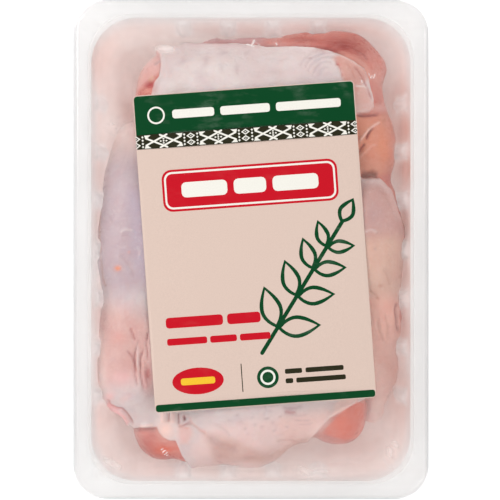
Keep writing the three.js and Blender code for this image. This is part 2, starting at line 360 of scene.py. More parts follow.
def plastic_material():
    """White plastic, thin enough to glow with the light behind it.

    blush is a pink tint of juice all over the inside, with a painted glow of the meat in the wall that grows
    lower down; stain is the stronger tint with painted meat glow where flesh lies against the wall; and lip
    is painted shade along the rim's outer edge.
    """
    s = Shader("tray_plastic")
    cloud = s.noise(26, detail=2)
    blush_and_meat_glow = s.math("MULTIPLY", s.value("blush_and_meat_glow"), s.spread(cloud, 0.3, 0.7, 0.7, 1.0))
    white = s.blend(s.spread(s.noise(60), 0.3, 0.7), WHITE_PLASTIC, darker(WHITE_PLASTIC, 0.97))
    tint = s.blend(blush_and_meat_glow, white, BLUSH_AND_GLOW_PLASTIC)
    stain_and_meat_glow = s.math("MULTIPLY", s.value("stain_and_meat_glow"), s.spread(s.noise(9), 0.3, 0.7, 0.75, 1.0))
    tint = s.blend(stain_and_meat_glow, tint, STAIN_AND_GLOW_PLASTIC)
    # painted shade on the rim's outer edge
    tint = s.blend(s.value("lip"), tint, RIM_EDGE_SHADE)
    grain = s.bump(s.noise(0.6, detail=2), 0.02, 0.5)
    surface = s.bump(s.noise(12, detail=1), 0.25, 0.35, after=grain)
    s.set(Base_Color=tint, Roughness=s.spread(s.noise(7), 0.3, 0.7, 0.30, 0.42))
    s.set(Specular_IOR_Level=0.5, Normal=surface)
    glow = s.node("ShaderNodeBsdfTranslucent", {"Color": tint}).outputs[0]
    mixed = s.node("ShaderNodeMixShader", {0: TRAY_GLOW, 1: s.bsdf.outputs[0], 2: glow}).outputs[0]
    s.put(s.output.inputs["Surface"], mixed)
    return s.material


def film_material():
    """Clear film: light passes, the surface is glossy, and haze is the share of milky fog under it, which
    also carries painted highlights and reflections.
    """
    s = Shader("clear_film")
    s.tree.nodes.remove(s.bsdf)
    ripple = s.bump(s.noise(9, detail=2), 0.25, 0.35)
    clear = s.node("ShaderNodeBsdfTransparent", {"Color": (0.99, 0.99, 0.985)}).outputs[0]
    mist = s.node("ShaderNodeBsdfDiffuse", {"Color": (0.95, 0.90, 0.88)}).outputs[0]
    glow = s.node("ShaderNodeBsdfTranslucent", {"Color": (0.97, 0.95, 0.94)}).outputs[0]
    fog_and_highlights = s.node("ShaderNodeMixShader", {0: 0.5, 1: mist, 2: glow}).outputs[0]
    polish = {"Color": (1, 1, 1), "Roughness": 0.05, "Normal": ripple}
    gloss = s.node("ShaderNodeBsdfGlossy", polish).outputs[0]
    # milky fog, together with painted highlights and reflections on the film
    haze_and_highlights = s.math("MULTIPLY", s.value("haze_and_highlights"), s.spread(s.noise(14), 0.3, 0.7, 0.7, 1.2))
    facing = s.node("ShaderNodeLayerWeight", {"Blend": 0.5, "Normal": ripple}).outputs["Facing"]
    grazing = s.math("POWER", facing, 5.0)
    shine = s.math("MULTIPLY_ADD", grazing, 0.9)
    shine.node.inputs[2].default_value = 0.03
    body = s.node("ShaderNodeMixShader", {0: haze_and_highlights, 1: clear, 2: fog_and_highlights}).outputs[0]
    whole = s.node("ShaderNodeMixShader", {0: shine, 1: body, 2: gloss}).outputs[0]
    s.put(s.output.inputs["Surface"], whole)
    return s.material


def paper_material(name, colour, sheen):
    """Coated label paper, bare or under one ink. sheen is how much patches of painted sheen lighten it."""
    s = Shader(name)
    fibre = s.noise(0.5, detail=3)
    cloud = s.noise(22, detail=2)
    # pale patches of painted sheen on the coating
    sheen_patches = s.spread(s.noise(5, detail=4, stretch=(2.2, 1, 1)), 0.52, 0.75, 0.0, sheen)
    tone = s.blend(s.spread(fibre, 0.35, 0.65), colour, darker(colour, 0.93))
    tone = s.blend(s.math("MULTIPLY", sheen_patches, s.spread(cloud, 0.4, 0.65)), tone, (0.55, 0.62, 0.55))
    s.set(Base_Color=tone, Roughness=s.spread(cloud, 0.3, 0.7, 0.38, 0.50), Specular_IOR_Level=0.07)
    crease = s.bump(s.noise(16, detail=2), 0.3, 0.3)
    s.set(Normal=s.bump(fibre, 0.02, 0.5, after=crease))
    return s.material


def flesh_material():
    """Wet raw chicken. tone holds the colour, and muscle tells fibres (1) from skin (0)."""
    s = Shader("raw_chicken")
    tone = s.attribute("tone").outputs["Color"]
    muscle = s.value("muscle")
    grain_run = s.noise(1.1, detail=3, stretch=(6, 1, 2))
    mottle = s.noise(7, detail=4, roughness=0.6)
    speck = s.noise(1.4, detail=3, roughness=0.6)
    blotch = s.blend(1.0, tone, (0.88, 0.70, 0.70), "MULTIPLY")
    blotched = s.blend(s.spread(mottle, 0.35, 0.68, 0.0, 0.35), tone, blotch)
    fleck = s.blend(0.5, blotched, (0.95, 0.88, 0.82))
    specked = s.blend(s.spread(speck, 0.55, 0.75, 0.0, 0.30), blotched, fleck)
    fibre = s.blend(0.3, blotched, (0.85, 0.50, 0.42))
    fibrous = s.blend(s.spread(grain_run, 0.45, 0.68, 0.0, 0.5), blotched, fibre)
    s.set(Base_Color=s.blend(muscle, specked, fibrous))
    s.set(Roughness=s.spread(s.noise(3.5), 0.3, 0.7, 0.22, 0.42))
    s.set(Subsurface_Weight=0.22, Subsurface_Radius=(0.0030, 0.0013, 0.0009), Subsurface_Scale=0.6)
    s.set(Specular_IOR_Level=0.25)
    pores = s.node("ShaderNodeTexVoronoi", {"Vector": s.place(), "Scale": 1 / 2.6}).outputs["Distance"]
    skin_height = s.math("MULTIPLY", s.spread(pores, 0.0, 0.5, 0.0, 1.0), s.math("SUBTRACT", 1.0, muscle))
    fibre_height = s.math("MULTIPLY", grain_run, muscle)
    fine = s.bump(s.math("ADD", skin_height, fibre_height), 0.22, 0.5)
    s.set(Normal=s.bump(s.noise(4.5, detail=3), 0.6, 0.4, after=fine))
    return s.material


# ================================================================== rounded outlines and lofted skins


def nearest_rib(place, count, pitch):
    """The middle of the rib nearest to a place along a side with this many ribs."""
    lag = (count + 1) % 2 / 2
    number = np.clip(np.round(place / pitch - lag), -(count // 2), (count - 1) // 2)
    return (number + lag) * pitch


def outline(half, corner, rib_width=RIB_WIDTH, per_side=(150, 100), arc=26):
    """Points round a rounded rectangle, with their outward normals and their rib strength from 0 to 1."""
    straight = half - corner
    points, normals, ribs = [], [], []
    sides = [((0, 1), (1, 0), 1), ((-1, 0), (0, 1), 0), ((0, -1), (-1, 0), 1), ((1, 0), (0, -1), 0)]
    for along, out, axis in sides:
        along, out = np.array(along, float), np.array(out, float)
        run, away = straight[axis], half[1 - axis]
        reference = MOUTH[axis] - MOUTH_CORNER  # ribs keep their places as the outline narrows
        share = np.linspace(-1, 1, per_side[1 - axis], endpoint=False)[1:]
        offset = share * reference - nearest_rib(share * reference, *(LONG_RIBS if axis == 1 else SHORT_RIBS))
        points.append(share[:, None] * run * along + away * out)
        normals.append(np.repeat(out[None], len(share), 0))
        ribs.append(1 - smoothstep(0.22 * rib_width, 0.5 * rib_width, np.abs(offset)))
        turn = np.linspace(0, math.pi / 2, arc)[:, None]
        ray = np.cos(turn) * out + np.sin(turn) * along
        points.append(run * along + (away - corner) * out + corner * ray)
        normals.append(ray)
        ribs.append(np.zeros(arc))
    return np.concatenate(points), np.concatenate(normals), np.concatenate(ribs)


def loft(rings):
    """Quads between closed rings of equal length."""
    count = len(rings[0])
    vertices = np.concatenate(rings)
    ring_at = np.arange(len(rings) - 1)[:, None] * count
    here, onward = np.arange(count), np.roll(np.arange(count), -1)
    quads = np.stack([ring_at + here, ring_at + onward, ring_at + count + onward, ring_at + count + here], -1)
    return vertices, quads.reshape(-1, 4)


def fillet(corners, steps=5):
    """A profile through corners (a, b, radius), each rounded by its radius."""
    path = [np.array(corners[0][:2], float)]
    for before, (a, b, radius), after in zip(corners[:-2], corners[1:-1], corners[2:]):
        here = np.array([a, b], float)
        back = np.array(before[:2], float) - here
        on = np.array(after[:2], float) - here
        back, on = back / np.linalg.norm(back), on / np.linalg.norm(on)
        half_angle = math.acos(np.clip(back @ on, -1, 1)) / 2
        if radius <= 0 or half_angle > 1.55:
            path.append(here)
            continue
        reach = radius / math.tan(half_angle)
        start, end = here + back * reach, here + on * reach
        for t in np.linspace(0, 1, steps):
            path.append((1 - t) ** 2 * start + 2 * t * (1 - t) * here + t**2 * end)
    path.append(np.array(corners[-1][:2], float))
    return np.array(path)


def fine_steps(path, longest):
    """Splits the profile's long stretches."""
    out = [path[0]]
    for a, b in zip(path[:-1], path[1:]):
        parts = max(1, math.ceil(np.linalg.norm(b - a) / longest))
        out += [a + (b - a) * (i + 1) / parts for i in range(parts)]
    return np.array(out)


# ================================================================== tray


def rib_strength(z):
    rising = smoothstep(RIB_FOOT, RIB_FOOT + RIB_FADE, z)
    return rising * (1 - smoothstep(RIB_TOP - RIB_FADE, RIB_TOP, z))


def tray_ring(inset, z):
    """One ring of the tray's skin, inset from the mouth's edge. Below zero it lies on the rim."""
    if inset >= 0:
        corner = MOUTH_CORNER - inset
    else:
        corner = MOUTH_CORNER + (RIM_CORNER - MOUTH_CORNER) * (-inset / RIM_WIDTH)
    rib_width = RIB_WIDTH * (0.5 + 0.5 * z / TRAY_HEIGHT)
    points, normals, ribs = outline(MOUTH - inset, max(corner, 5.0), rib_width)
    points = points - normals * (ribs * RIB_DEPTH * rib_strength(z) * (inset > -1.5))[:, None]
    return np.column_stack([points, np.full(len(points), z)])


# Where flesh lies against the wall: juice stains with a painted glow of the flesh, each a centre and half
# sizes in pixels of the photo, and a share
TRAY_STAINS_AND_GLOWS = [
    (401, 296, 7, 12, 0.6), (402, 184, 7, 16, 0.5),
    (398, 100, 12, 22, 0.85), (402, 130, 14, 20, 0.95), (404, 170, 14, 24, 0.95), (404, 225, 10, 26, 0.7),
    (405, 275, 10, 22, 0.6), (402, 330, 12, 30, 0.65), (398, 395, 16, 34, 0.6), (330, 28, 40, 7, 0.25),
    (230, 31, 40, 9, 0.4), (97, 310, 10, 20, 0.25), (98, 170, 8, 26, 0.3), (110, 415, 16, 14, 0.3),
    (100, 60, 16, 24, 0.45),
    (128, 118, 9, 34, 0.6), (260, 478, 60, 8, 0.2), (335, 455, 30, 12, 0.2), (97, 225, 6, 24, 0.3),
]


def tray_piece():
    top, rim = TRAY_HEIGHT, -RIM_WIDTH
    foot_out, foot_in = WALL_LEAN + 3, WALL_LEAN + 13
    upper = [
        (foot_in + 8, SHEET, 0),
        (WALL_LEAN + 0.3, SHEET, 10.0),
        (0.12, top - 0.5, 0.0),
        (-0.1, top, 0.25),
        (-1.3, top, 0.2),
        (-1.7, top - 0.35, 0.2),
        (-2.1, top, 0.2),
        (rim, top, 1.0),
        (rim, top - RIM_LIP, 0.2),
    ]
    lower = [
        (rim, top - RIM_LIP, 0),
        (rim + 0.6, top - RIM_LIP, 0.1),
        (rim + SHEET, top - SHEET, 0.5),
        (-SHEET, top - SHEET, 0.8),
        (WALL_LEAN - SHEET, 0.3, 9.0),
        (foot_out + 6, FOOT_GAP, 1),
        (foot_in + 1, FOOT_GAP, 1),
        (foot_in + 4, 0.35, 3),
        (foot_in + 8, FOOT_GAP, 0),
    ]
    upper_path, lower_path = (fine_steps(fillet(corners), PROFILE_STEP) for corners in (upper, lower))
    profile = np.concatenate([upper_path, lower_path[1:]])
    middle = np.linspace(1.0, 0.02, 8)[1:]
    rings = [tray_ring(inset, z) for inset, z in profile]
    inner = [rings[0] * [share, share, 1] for share in middle[::-1]]
    outer = [rings[-1] * [share, share, 1] for share in middle]
    vertices, quads = loft(inner + rings + outer)
    count = len(rings[0])
    caps = []
    for ring_start, flip in ((0, False), (len(vertices) - count, True)):
        ids = ring_start + np.arange(count)
        centre = len(vertices)
        vertices = np.vstack([vertices, vertices[ids].mean(0)])
        for j in range(0, count, 2):
            quad = [ids[j], centre, ids[(j + 2) % count], ids[(j + 1) % count]]
            caps.append(quad[::-1] if flip else quad)
    tray = make_object("tray_shell", vertices, np.vstack([quads, caps]), [plastic_material()])
    x, y, z = vertices.T
    past_mouth = np.maximum(np.abs(x) - MOUTH[0], np.abs(y) - MOUTH[1])
    is_upper = np.zeros(len(vertices), bool)
    is_upper[: count * (len(inner) + len(upper_path) - 1)] = True
    depth = smoothstep(TRAY_HEIGHT - 1.0, TRAY_HEIGHT - 26, z)
    inside = is_upper & (past_mouth < 0.6) & (z < TRAY_HEIGHT - 0.3)
    # painted highlight: rib crests lose part of the pink tint and stains
    rib = RIB_HIGHLIGHT * rib_push(x, y) * rib_strength(z)
    # the inside's pink: a juice tint with a painted glow of the meat, stronger lower down
    give_values(tray, "blush_and_meat_glow", np.where(inside, (0.12 + 0.7 * depth) * (1 - rib), 0.0))
    u, v = photo_place(vertices.T)
    # juice stains with a painted glow of the flesh beside the wall
    stain_and_meat_glow = np.zeros(len(vertices))
    for cx, cy, rx, ry, share in TRAY_STAINS_AND_GLOWS:
        stain_and_meat_glow = np.maximum(stain_and_meat_glow, share * np.exp(-(((u - cx) / rx) ** 2) - ((v - cy) / ry) ** 2))
    give_values(tray, "stain_and_meat_glow", np.where(inside, stain_and_meat_glow * (1 - rib), 0.0))
    # painted shade on the rim's outermost edge
    on_lip = smoothstep(-0.8, -0.1, past_mouth - RIM_WIDTH)
    give_values(tray, "lip", np.where(z > TRAY_HEIGHT - RIM_LIP - 0.1, on_lip, 0.0))
    dress(tray, "tray_plastic", "tray")


# ================================================================== legs


def join(a, b, width):
    """Smooth union of two distances."""
    near = np.maximum(width - np.abs(a - b), 0) / width
    return np.minimum(a, b) - near * near * width / 4


def press(a, b, width):
    """Smooth intersection of two distances."""
    return -join(-a, -b, width)


def lobe(p, at, semi, turn=0.0):
    """Distance to an ellipsoid of muscle turned about Z."""
    cos, sin = math.cos(math.radians(turn)), math.sin(math.radians(turn))
    dx, dy = p[0] - at[0], p[1] - at[1]
    local = [(dx * cos + dy * sin) / semi[0], (dy * cos - dx * sin) / semi[1], (p[2] - at[2]) / semi[2]]
    scaled = np.sqrt(sum(v * v for v in local))
    slope = np.sqrt(sum((v / s) ** 2 for v, s in zip(local, semi)))
    return scaled * (scaled - 1) / np.maximum(slope, 1e-9)


def limb(p, stations, width=9.0):
    """Distance to a limb through stations, each a point and a radius."""
    best = None
    for (a, radius_a), (b, radius_b) in zip(stations[:-1], stations[1:]):
        a, b = np.array(a, float), np.array(b, float)
        along = b - a
        t = np.clip(sum((p[k] - a[k]) * along[k] for k in range(3)) / (along @ along), 0, 1)
        off = np.sqrt(sum((p[k] - a[k] - t * along[k]) ** 2 for k in range(3)))
        distance = off - (radius_a + (radius_b - radius_a) * t)
        best = distance if best is None else join(best, distance, width)
    return best


UPPER_LEG = {
    "thigh": [
        ((-3, 62, 26), (53, 52, 28), -3),
        ((40, 86, 23), (32, 37, 27), 0),
        ((-41, 78, 23), (24, 31, 24), 0),
        ((-34, 30, 24), (29, 30, 26), 20),
        ((14, 22, 24), (40, 30, 26), 0),
        ((16, 97, 18), (58, 20, 21), 0),
    ],
    "rolls": [],
    "knee": ((57, 56, 26), (23, 24, 24)),
    "calf": ((50, 7, 31), (36, 36, 24.5)),
    "shank": [((54, 14, 27), 24), ((61, -38, 25), 19.5), ((65, -62, 17), 13.5), ((65, -86, 9), 8)],
}
LOWER_LEG = {
    "thigh": [
        ((-3, -62, 26), (54, 46, 28), -3),
        ((44.5, -83, 19), (21, 22.5, 21), 0),
        ((-49, -93, 19), (17, 22, 21), 0),
        ((-60, -36, 26), (22, 32, 23), 0),
        ((-61, -64, 28), (21, 25, 20), 0),
        ((-8, -24, 24), (42, 29, 26), 0),
        ((30, -40, 24), (28, 28, 25), 20),
    ],
    "rolls": [
        [((-30, -95, 26), 20), ((0, -97, 27), 18.5), ((34, -88, 25), 13)],
        [((-42, -92, 36), 7.5), ((-38, -88, 37), 8)],
    ],
    "knee": ((-57, -57, 26), (21, 29, 24)),
    "calf": ((-50, 3, 31), (35, 38, 24.5)),
    "shank": [((-56, 0, 27), 24), ((-58, 34, 25), 19), ((-58, 52, 19), 13), ((-57, 60, 17), 12)],
}


def swell(p):
    x, y, z = p
    return 1.1 * np.sin(x / 13 + 0.7) * np.sin(y / 17 + 1.9) + 0.7 * np.sin(x / 7.5 + y / 9.5 + z / 11)


def leg_form(p, leg):
    thigh = None
    for part in leg["thigh"]:
        distance = lobe(p, *part)
        thigh = distance if thigh is None else join(thigh, distance, 8)
    for roll in leg["rolls"]:
        thigh = join(thigh, limb(p, roll), 4)
    drumstick = join(lobe(p, *leg["calf"]), limb(p, leg["shank"]), 12)
    return join(join(thigh, lobe(p, *leg["knee"]), 16), drumstick, 10) + swell(p)


def film_rise(x, y):
    u = np.minimum(np.abs(x) / MOUTH[0], 1)
    v = np.minimum(np.abs(y) / MOUTH[1], 1)
    return FILM_RISE * (1 - u**4) * (1 - v**4)


def rib_push(x, y):
    """How strongly a rib stands into the cavity beside a place near a wall."""
    strength = 0.0
    for across, along, half, ribs in ((x, y, MOUTH[0], LONG_RIBS), (y, x, MOUTH[1], SHORT_RIBS)):
        offset = np.abs(along - nearest_rib(along, *ribs))
        near_wall = np.abs(across) > half - 20
        beside = 1 - smoothstep(0.3 * RIB_WIDTH, 0.75 * RIB_WIDTH, offset)
        strength = np.maximum(strength, near_wall * beside)
    return strength


def cavity(p):
    """Distance past the tray's inside and the film."""
    x, y, z = p
    clear = 0.3 + RIB_DEPTH * np.clip((RIB_TOP + 1 - z) / RIB_FADE, 0, 1) * rib_push(x, y)
    inset = WALL_LEAN * (1 - z / TRAY_HEIGHT) + clear + FLESH_GAP
    corner = MOUTH_CORNER - WALL_LEAN / 2
    past_x = np.abs(x) - (MOUTH[0] - inset - corner)
    past_y = np.abs(y) - (MOUTH[1] - inset - corner)
    outside = np.hypot(np.maximum(past_x, 0), np.maximum(past_y, 0))
    wall = outside + np.minimum(np.maximum(past_x, past_y), 0) - corner
    lid = z - (FILM_BOTTOM + film_rise(x, y) - FLESH_GAP)
    floor = SHEET + FLESH_ABOVE_FLOOR - z
    return press(wall, press(lid, floor, 1), 5)


def pressed_legs(p):
    upper, lower, room = leg_form(p, UPPER_LEG), leg_form(p, LOWER_LEG), cavity(p)
    apart = (upper - lower) / 2
    pressed_upper = press(press(upper, room, 4), apart + FLESH_GAP, 4)
    pressed_lower = press(press(lower, room, 4), -apart + FLESH_GAP, 4)
    return pressed_upper, pressed_lower


def surface_net(values, axes):
    """Quads over the zero surface of values on a grid: one vertex in each cell that it crosses."""
    inside = values < 0
    size = np.array(values.shape) - 1
    corners = [np.array([c & 1, (c >> 1) & 1, (c >> 2) & 1]) for c in range(8)]
    window = [tuple(slice(o, o + n) for o, n in zip(c, size)) for c in corners]
    filled = sum(inside[w].astype(np.int8) for w in window)
    cells = np.argwhere((filled > 0) & (filled < 8))
    number = np.full(size, -1, dtype=np.int64)
    number[tuple(cells.T)] = np.arange(len(cells))
    at_corner = np.stack([values[tuple((cells + c).T)] for c in corners], 1)
    total, crossings = np.zeros((len(cells), 3)), np.zeros(len(cells))
    for a in range(8):
        for bit in (1, 2, 4):
            if a & bit:
                continue
            va, vb = at_corner[:, a], at_corner[:, a | bit]
            crosses = (va < 0) != (vb < 0)
            t = np.where(crosses, va / np.where(crosses, va - vb, 1), 0)[:, None]
            total += crosses[:, None] * (corners[a] + t * (corners[a | bit] - corners[a]))
            crossings += crosses
    local = cells + total / crossings[:, None]
    vertices = np.stack([np.interp(local[:, k], np.arange(len(axes[k])), axes[k]) for k in range(3)], 1)
    quads = []
    for k in range(3):
        u, w = (k + 1) % 3, (k + 2) % 3
        low = [slice(1, n) for n in size]
        high = list(low)
        low[k], high[k] = slice(0, size[k]), slice(1, size[k] + 1)
        a, b = inside[tuple(low)], inside[tuple(high)]
        for outward, crossing in ((True, a & ~b), (False, ~a & b)):
            start = np.argwhere(crossing) + np.array([0 if n == k else 1 for n in range(3)])
            ring = []
            for du, dw in ((0, 0), (1, 0), (1, 1), (0, 1)):
                back = np.zeros(3, int)
                back[u], back[w] = du, dw
                ring.append(number[tuple((start - back).T)])
            quads.append(np.stack(ring if outward else ring[::-1], 1))
    return vertices, np.concatenate(quads)


def gradient(field, points, step=0.4):
    slopes = []
    for k in range(3):
        ahead = [p + step * (k == n) for n, p in enumerate(points)]
        behind = [p - step * (k == n) for n, p in enumerate(points)]
        slopes.append((field(ahead) - field(behind)) / (2 * step))
    slopes = np.stack(slopes, 1)
    return slopes / np.maximum(np.linalg.norm(slopes, axis=1, keepdims=True), 1e-9)


def past_outline(x, y, points):
    """Signed distance in plan from a closed outline, negative inside."""
    points = np.array(points, float)
    nearest = np.full(x.shape, 1e9)
    inside = np.zeros(x.shape, bool)
    for a, b in zip(points, np.roll(points, -1, 0)):
        along = b - a
        t = np.clip(((x - a[0]) * along[0] + (y - a[1]) * along[1]) / (along @ along), 0, 1)
        nearest = np.minimum(nearest, np.hypot(x - a[0] - t * along[0], y - a[1] - t * along[1]))
        crosses = (a[1] > y) != (b[1] > y)
        run = np.where(b[1] == a[1], 1e-9, b[1] - a[1])
        inside ^= crosses & (x < a[0] + (y - a[1]) * along[0] / run)
    return np.where(inside, -nearest, nearest)


def off_line(x, y, points):
    """Distance in plan from an open line, and how far along it from 0 to 1."""
    points = np.array(points, float)
    lengths = np.linalg.norm(np.diff(points, axis=0), axis=1)
    done = np.concatenate([[0], np.cumsum(lengths)]) / lengths.sum()
    best, share = np.full(x.shape, 1e9), np.zeros(x.shape)
    for i, (a, b) in enumerate(zip(points[:-1], points[1:])):
        along = b - a
        t = np.clip(((x - a[0]) * along[0] + (y - a[1]) * along[1]) / (along @ along), 0, 1)
        distance = np.hypot(x - a[0] - t * along[0], y - a[1] - t * along[1])
        share = np.where(distance < best, done[i] + t * (done[i + 1] - done[i]), share)
        best = np.minimum(best, distance)
    return best, share


def groove(x, y, points, width, ends=0.15):
    """Strength from 0 to 1 of a crease along a line, fading at its ends."""
    distance, share = off_line(x, y, points)
    return bell(distance, width) * smoothstep(0, ends, share) * (1 - smoothstep(1 - ends, 1, share))


def spot_reach(u, v, cx, cy, rx, ry, turn):
    """0 at the middle of a turned ellipse in the photo, 1 on its edge. A positive turn lifts its right."""
    cos, sin = math.cos(math.radians(turn)), math.sin(math.radians(turn))
    du, dv = u - cx, v - cy
    return np.hypot((du * cos - dv * sin) / rx, (du * sin + dv * cos) / ry)


# What shows through the film, in pixels of the photo. Areas are outlines. Creases are lines with a width in
# pixels, a depth in mm (below zero it stands up), and an ink with its share. Spots are a centre, two half
# sizes, a turn in degrees, a height in mm, and an ink with its share. Some inks paint shade into the colour
# in folds, under edges and along outlines, and some paint highlights on lit ridges and edges.

UPPER_SKIN = [
    (150.6, 150), (151.2, 91), (153.8, 82.4), (158.8, 76.4), (160, 63), (159.6, 56), (154, 51.5),
    (161, 48.5), (175, 46), (185, 42.2), (213, 42.8), (232, 43.6),
    (250, 44.2), (267, 46.5), (297, 46.4), (313, 46.9), (327, 49.4), (340, 53.5), (353, 60), (365, 68.2),
    (369, 78), (371.5, 91), (374, 101), (375, 107), (370, 111.5), (357, 113.5),
    (352, 140), (352, 176), (381, 178), (392, 190), (398, 207), (404, 221), (409, 240), (409, 300),
    (420, 430), (300, 430), (240, 250), (120, 250),
]
UPPER_AREAS = [
    # outline, softness, ink, share, lift
    # painted shade beyond the skin's top edge
    ([(190, 20), (258, 20), (266, 30), (262, 38), (258, 46), (190, 44)], 7.0, "mauve_shade", 0.8, 0.0),
    ([(100, 40), (160, 50), (160, 70), (152, 77), (143, 84), (132, 92), (126, 110), (100, 110)],
     4.0, "rose_pale", 0.9, 0.0),
    # painted light over low, shaded flesh
    ([(100, 30), (158, 44), (140, 66), (132, 84), (124, 110), (100, 110)], 7.0, "veil_light", 0.8, 0.0),
    ([(333, 58), (341, 54), (353, 60.5), (365, 69), (368, 78), (362, 84), (355, 96), (345, 96), (341, 70)],
     2.5, "fold", 0.8, 0.0),
    ([(353, 86), (364, 86), (369, 94), (371, 104), (353, 106)], 3.0, "pale_flap", 0.85, 0.3),
    ([(353, 104), (376, 104), (397, 100), (412, 98), (412, 108), (395, 111), (353, 112)],
     4.0, "pale_flap", 0.7, 0.0),
    ([(352, 114), (375, 114.5), (395, 110), (412, 114), (414, 168), (383, 176), (352, 172)],
     3.5, "knee", 0.95, 0.0),
    ([(396, 108), (420, 108), (420, 180), (398, 180), (394, 150)], 5.0, "rose_deep", 0.8, 0.0),
    ([(383, 122), (392, 134), (394, 158), (386, 166), (380, 150), (381, 132)], 6.0, "orange", 0.75, 0.0),
    ([(352, 181), (381, 182), (392, 192), (400, 207), (407, 224), (408, 243), (352, 247)],
     9.0, "drum_grey", 0.9, 0.0),
    ([(352, 240), (395, 236), (409, 244), (410, 284), (408, 304), (352, 301)], 12.0, "drum_tan", 0.85, 0.0),
    ([(352, 295), (404, 297), (420, 340), (420, 440), (352, 440)], 9.0, "low_rose", 0.9, 0.0),
    # painted light over low, shaded flesh
    ([(340, 394), (425, 394), (425, 480), (330, 480)], 18.0, "veil_light", 0.9, 0.0),
]
UPPER_CREASES = [
    # painted highlights along the skin's lit top edge
    ([(226, 44.0), (240, 44.8), (250, 45.6), (262, 46.6), (282, 47.4)], 1.4, -0.2, "white", 0.9),
    ([(282, 47.4), (297, 47.4), (313, 48.2), (327, 50.8), (340, 55), (352, 61.4), (362, 68.4)],
     2.0, -0.3, "white", 0.5),
    # painted highlight on the flap's lit edge
    ([(353, 85.8), (360, 86.2), (366, 87), (368.6, 91), (371.8, 94.6), (372.8, 99), (371, 104)],
     1.5, -0.3, "white", 0.6),
    # painted shadow line under the skin's top edge
    ([(186, 40.6), (213, 41), (232, 40.4), (250, 41.2), (262, 42.8), (284, 44.2)], 5.0, 1.6, "blood_and_shadow", 0.8),
    # painted shade in the hollow beside the wedge
    ([(152, 62.4), (156, 59.6), (160, 56.4)], 3.0, 0.9, "bruise_and_shade", 0.75),
    # painted shade line beside the wedge
    ([(159.6, 57), (159.4, 64), (158.2, 76)], 1.8, 0.9, "magenta_and_shade", 0.7),
    ([(139, 88.8), (142, 87.2), (145, 85.4)], 1.4, 0.6, "blood_and_shadow", 0.7),
    ([(151.6, 87), (152.2, 85), (153.2, 83.4)], 1.6, 0.8, "blood_and_shadow", 0.8),
    ([(262, 43.6), (284, 44.0), (300, 43.8), (320, 45.4), (338, 50.6), (352, 57)], 3.0, 1.2, "blood_and_shadow", 0.55),
    ([(305, 71), (307, 63), (313, 57), (323, 53.4), (334, 53.4), (343, 57)], 1.5, 0.6, "lilac", 0.3),
    ([(308, 74), (311, 65), (318, 59), (327, 56.6), (335, 58), (340, 63)], 1.5, 0.55, "lilac", 0.3),
    ([(313, 76), (316, 68), (322, 62.5), (329, 61), (335, 64)], 1.5, 0.5, "lilac", 0.3),
    ([(319, 78), (322, 71), (327, 67), (332, 67.5)], 1.4, 0.4, "lilac", 0.25),
    ([(300, 68), (303, 60), (310, 53.5), (320, 50.4)], 1.5, 0.45, "lilac", 0.25),
    ([(335, 60), (338.5, 64), (341, 70), (342.5, 79)], 1.8, 0.6, "muscle", 0.45),
    ([(334, 50.4), (345, 53), (356, 57), (365, 63), (371, 72), (374, 84)], 7.0, -0.4, "low_rose", 0.6),
    ([(345, 42.5), (356, 46.5), (366, 53), (372, 61)], 2.4, 0.5, "deep_muscle_and_shade", 0.5),
    ([(352, 65), (358, 70), (362, 76), (365, 83), (369, 93), (372, 102)], 1.7, 0.8, "muscle", 0.6),
    ([(345, 62), (352, 70), (356, 80)], 1.5, 0.4, "muscle", 0.3),
    # painted shadow lines in the folds by the knee
    ([(357, 113.9), (366, 114.4), (376, 113.8), (382, 113)], 2.6, 1.3, "blood_and_shadow", 0.8),
    ([(367.5, 140), (369, 135), (372, 130), (376, 126)], 2.6, 1.6, "blood_and_shadow", 0.85),
    ([(359, 154), (362, 148), (366, 143.5)], 2.2, 1.1, "blood_and_shadow", 0.7),
    # painted highlight along a lit curve
    ([(359, 142.5), (364, 136), (369.5, 129.5), (376, 124.5), (384, 120)], 2.6, -1.0, "fat_and_highlight", 0.8),
    ([(358, 160), (366, 152), (372, 146), (380, 143)], 3.2, -0.5, "fat_and_highlight", 0.25),
    # painted shade in the cleft between knee and drumstick
    ([(360, 175.5), (368, 175.6), (374, 174.4), (381, 176.5)], 6.0, 2.2, "cleft_shade", 0.95),
    # painted shade along the drumstick's outline
    ([(397, 207), (402.5, 219), (405, 233), (407.8, 245)], 2.4, 0.5, "brown_and_edge_shade", 0.7),
    ([(408, 255), (408.6, 270), (406.6, 281), (403.6, 294), (399, 301)], 2.4, 0.5, "brown_and_edge_shade", 0.7),
    ([(397.2, 301), (395.8, 310), (396.8, 323), (398.6, 334)], 2.8, 1.1, "blood_and_shadow", 0.65),
    ([(402.6, 297), (400.8, 307), (400.6, 318), (403, 330)], 2.2, 0.7, "muscle", 0.6),
    ([(368, 289.5), (373, 293), (377, 296.5), (380.5, 301)], 1.8, 0.6, "brown_and_edge_shade", 0.45),
    # painted highlight on a lit patch
    ([(364, 232), (371, 229.6), (378, 232.5)], 2.6, -0.6, "pale_and_highlight", 0.4),
    ([(383, 268), (388, 276), (390, 286)], 2.4, 0.4, "brown_and_edge_shade", 0.2),
    ([(377, 318), (379, 330), (384, 343)], 2.6, 0.5, "brown_and_edge_shade", 0.3),
    ([(385, 312), (388, 326), (388, 342)], 2.6, 0.4, "brown_and_edge_shade", 0.25),
    ([(146.4, 80.6), (149.6, 77.6), (152.4, 75)], 5.0, -0.6, "tallow", 0.75),
    ([(198, 55), (206, 52), (214, 53)], 2.0, 0.3, "lilac", 0.2),
    ([(265, 58), (280, 60), (292, 57)], 2.0, 0.3, "lilac", 0.2),
]
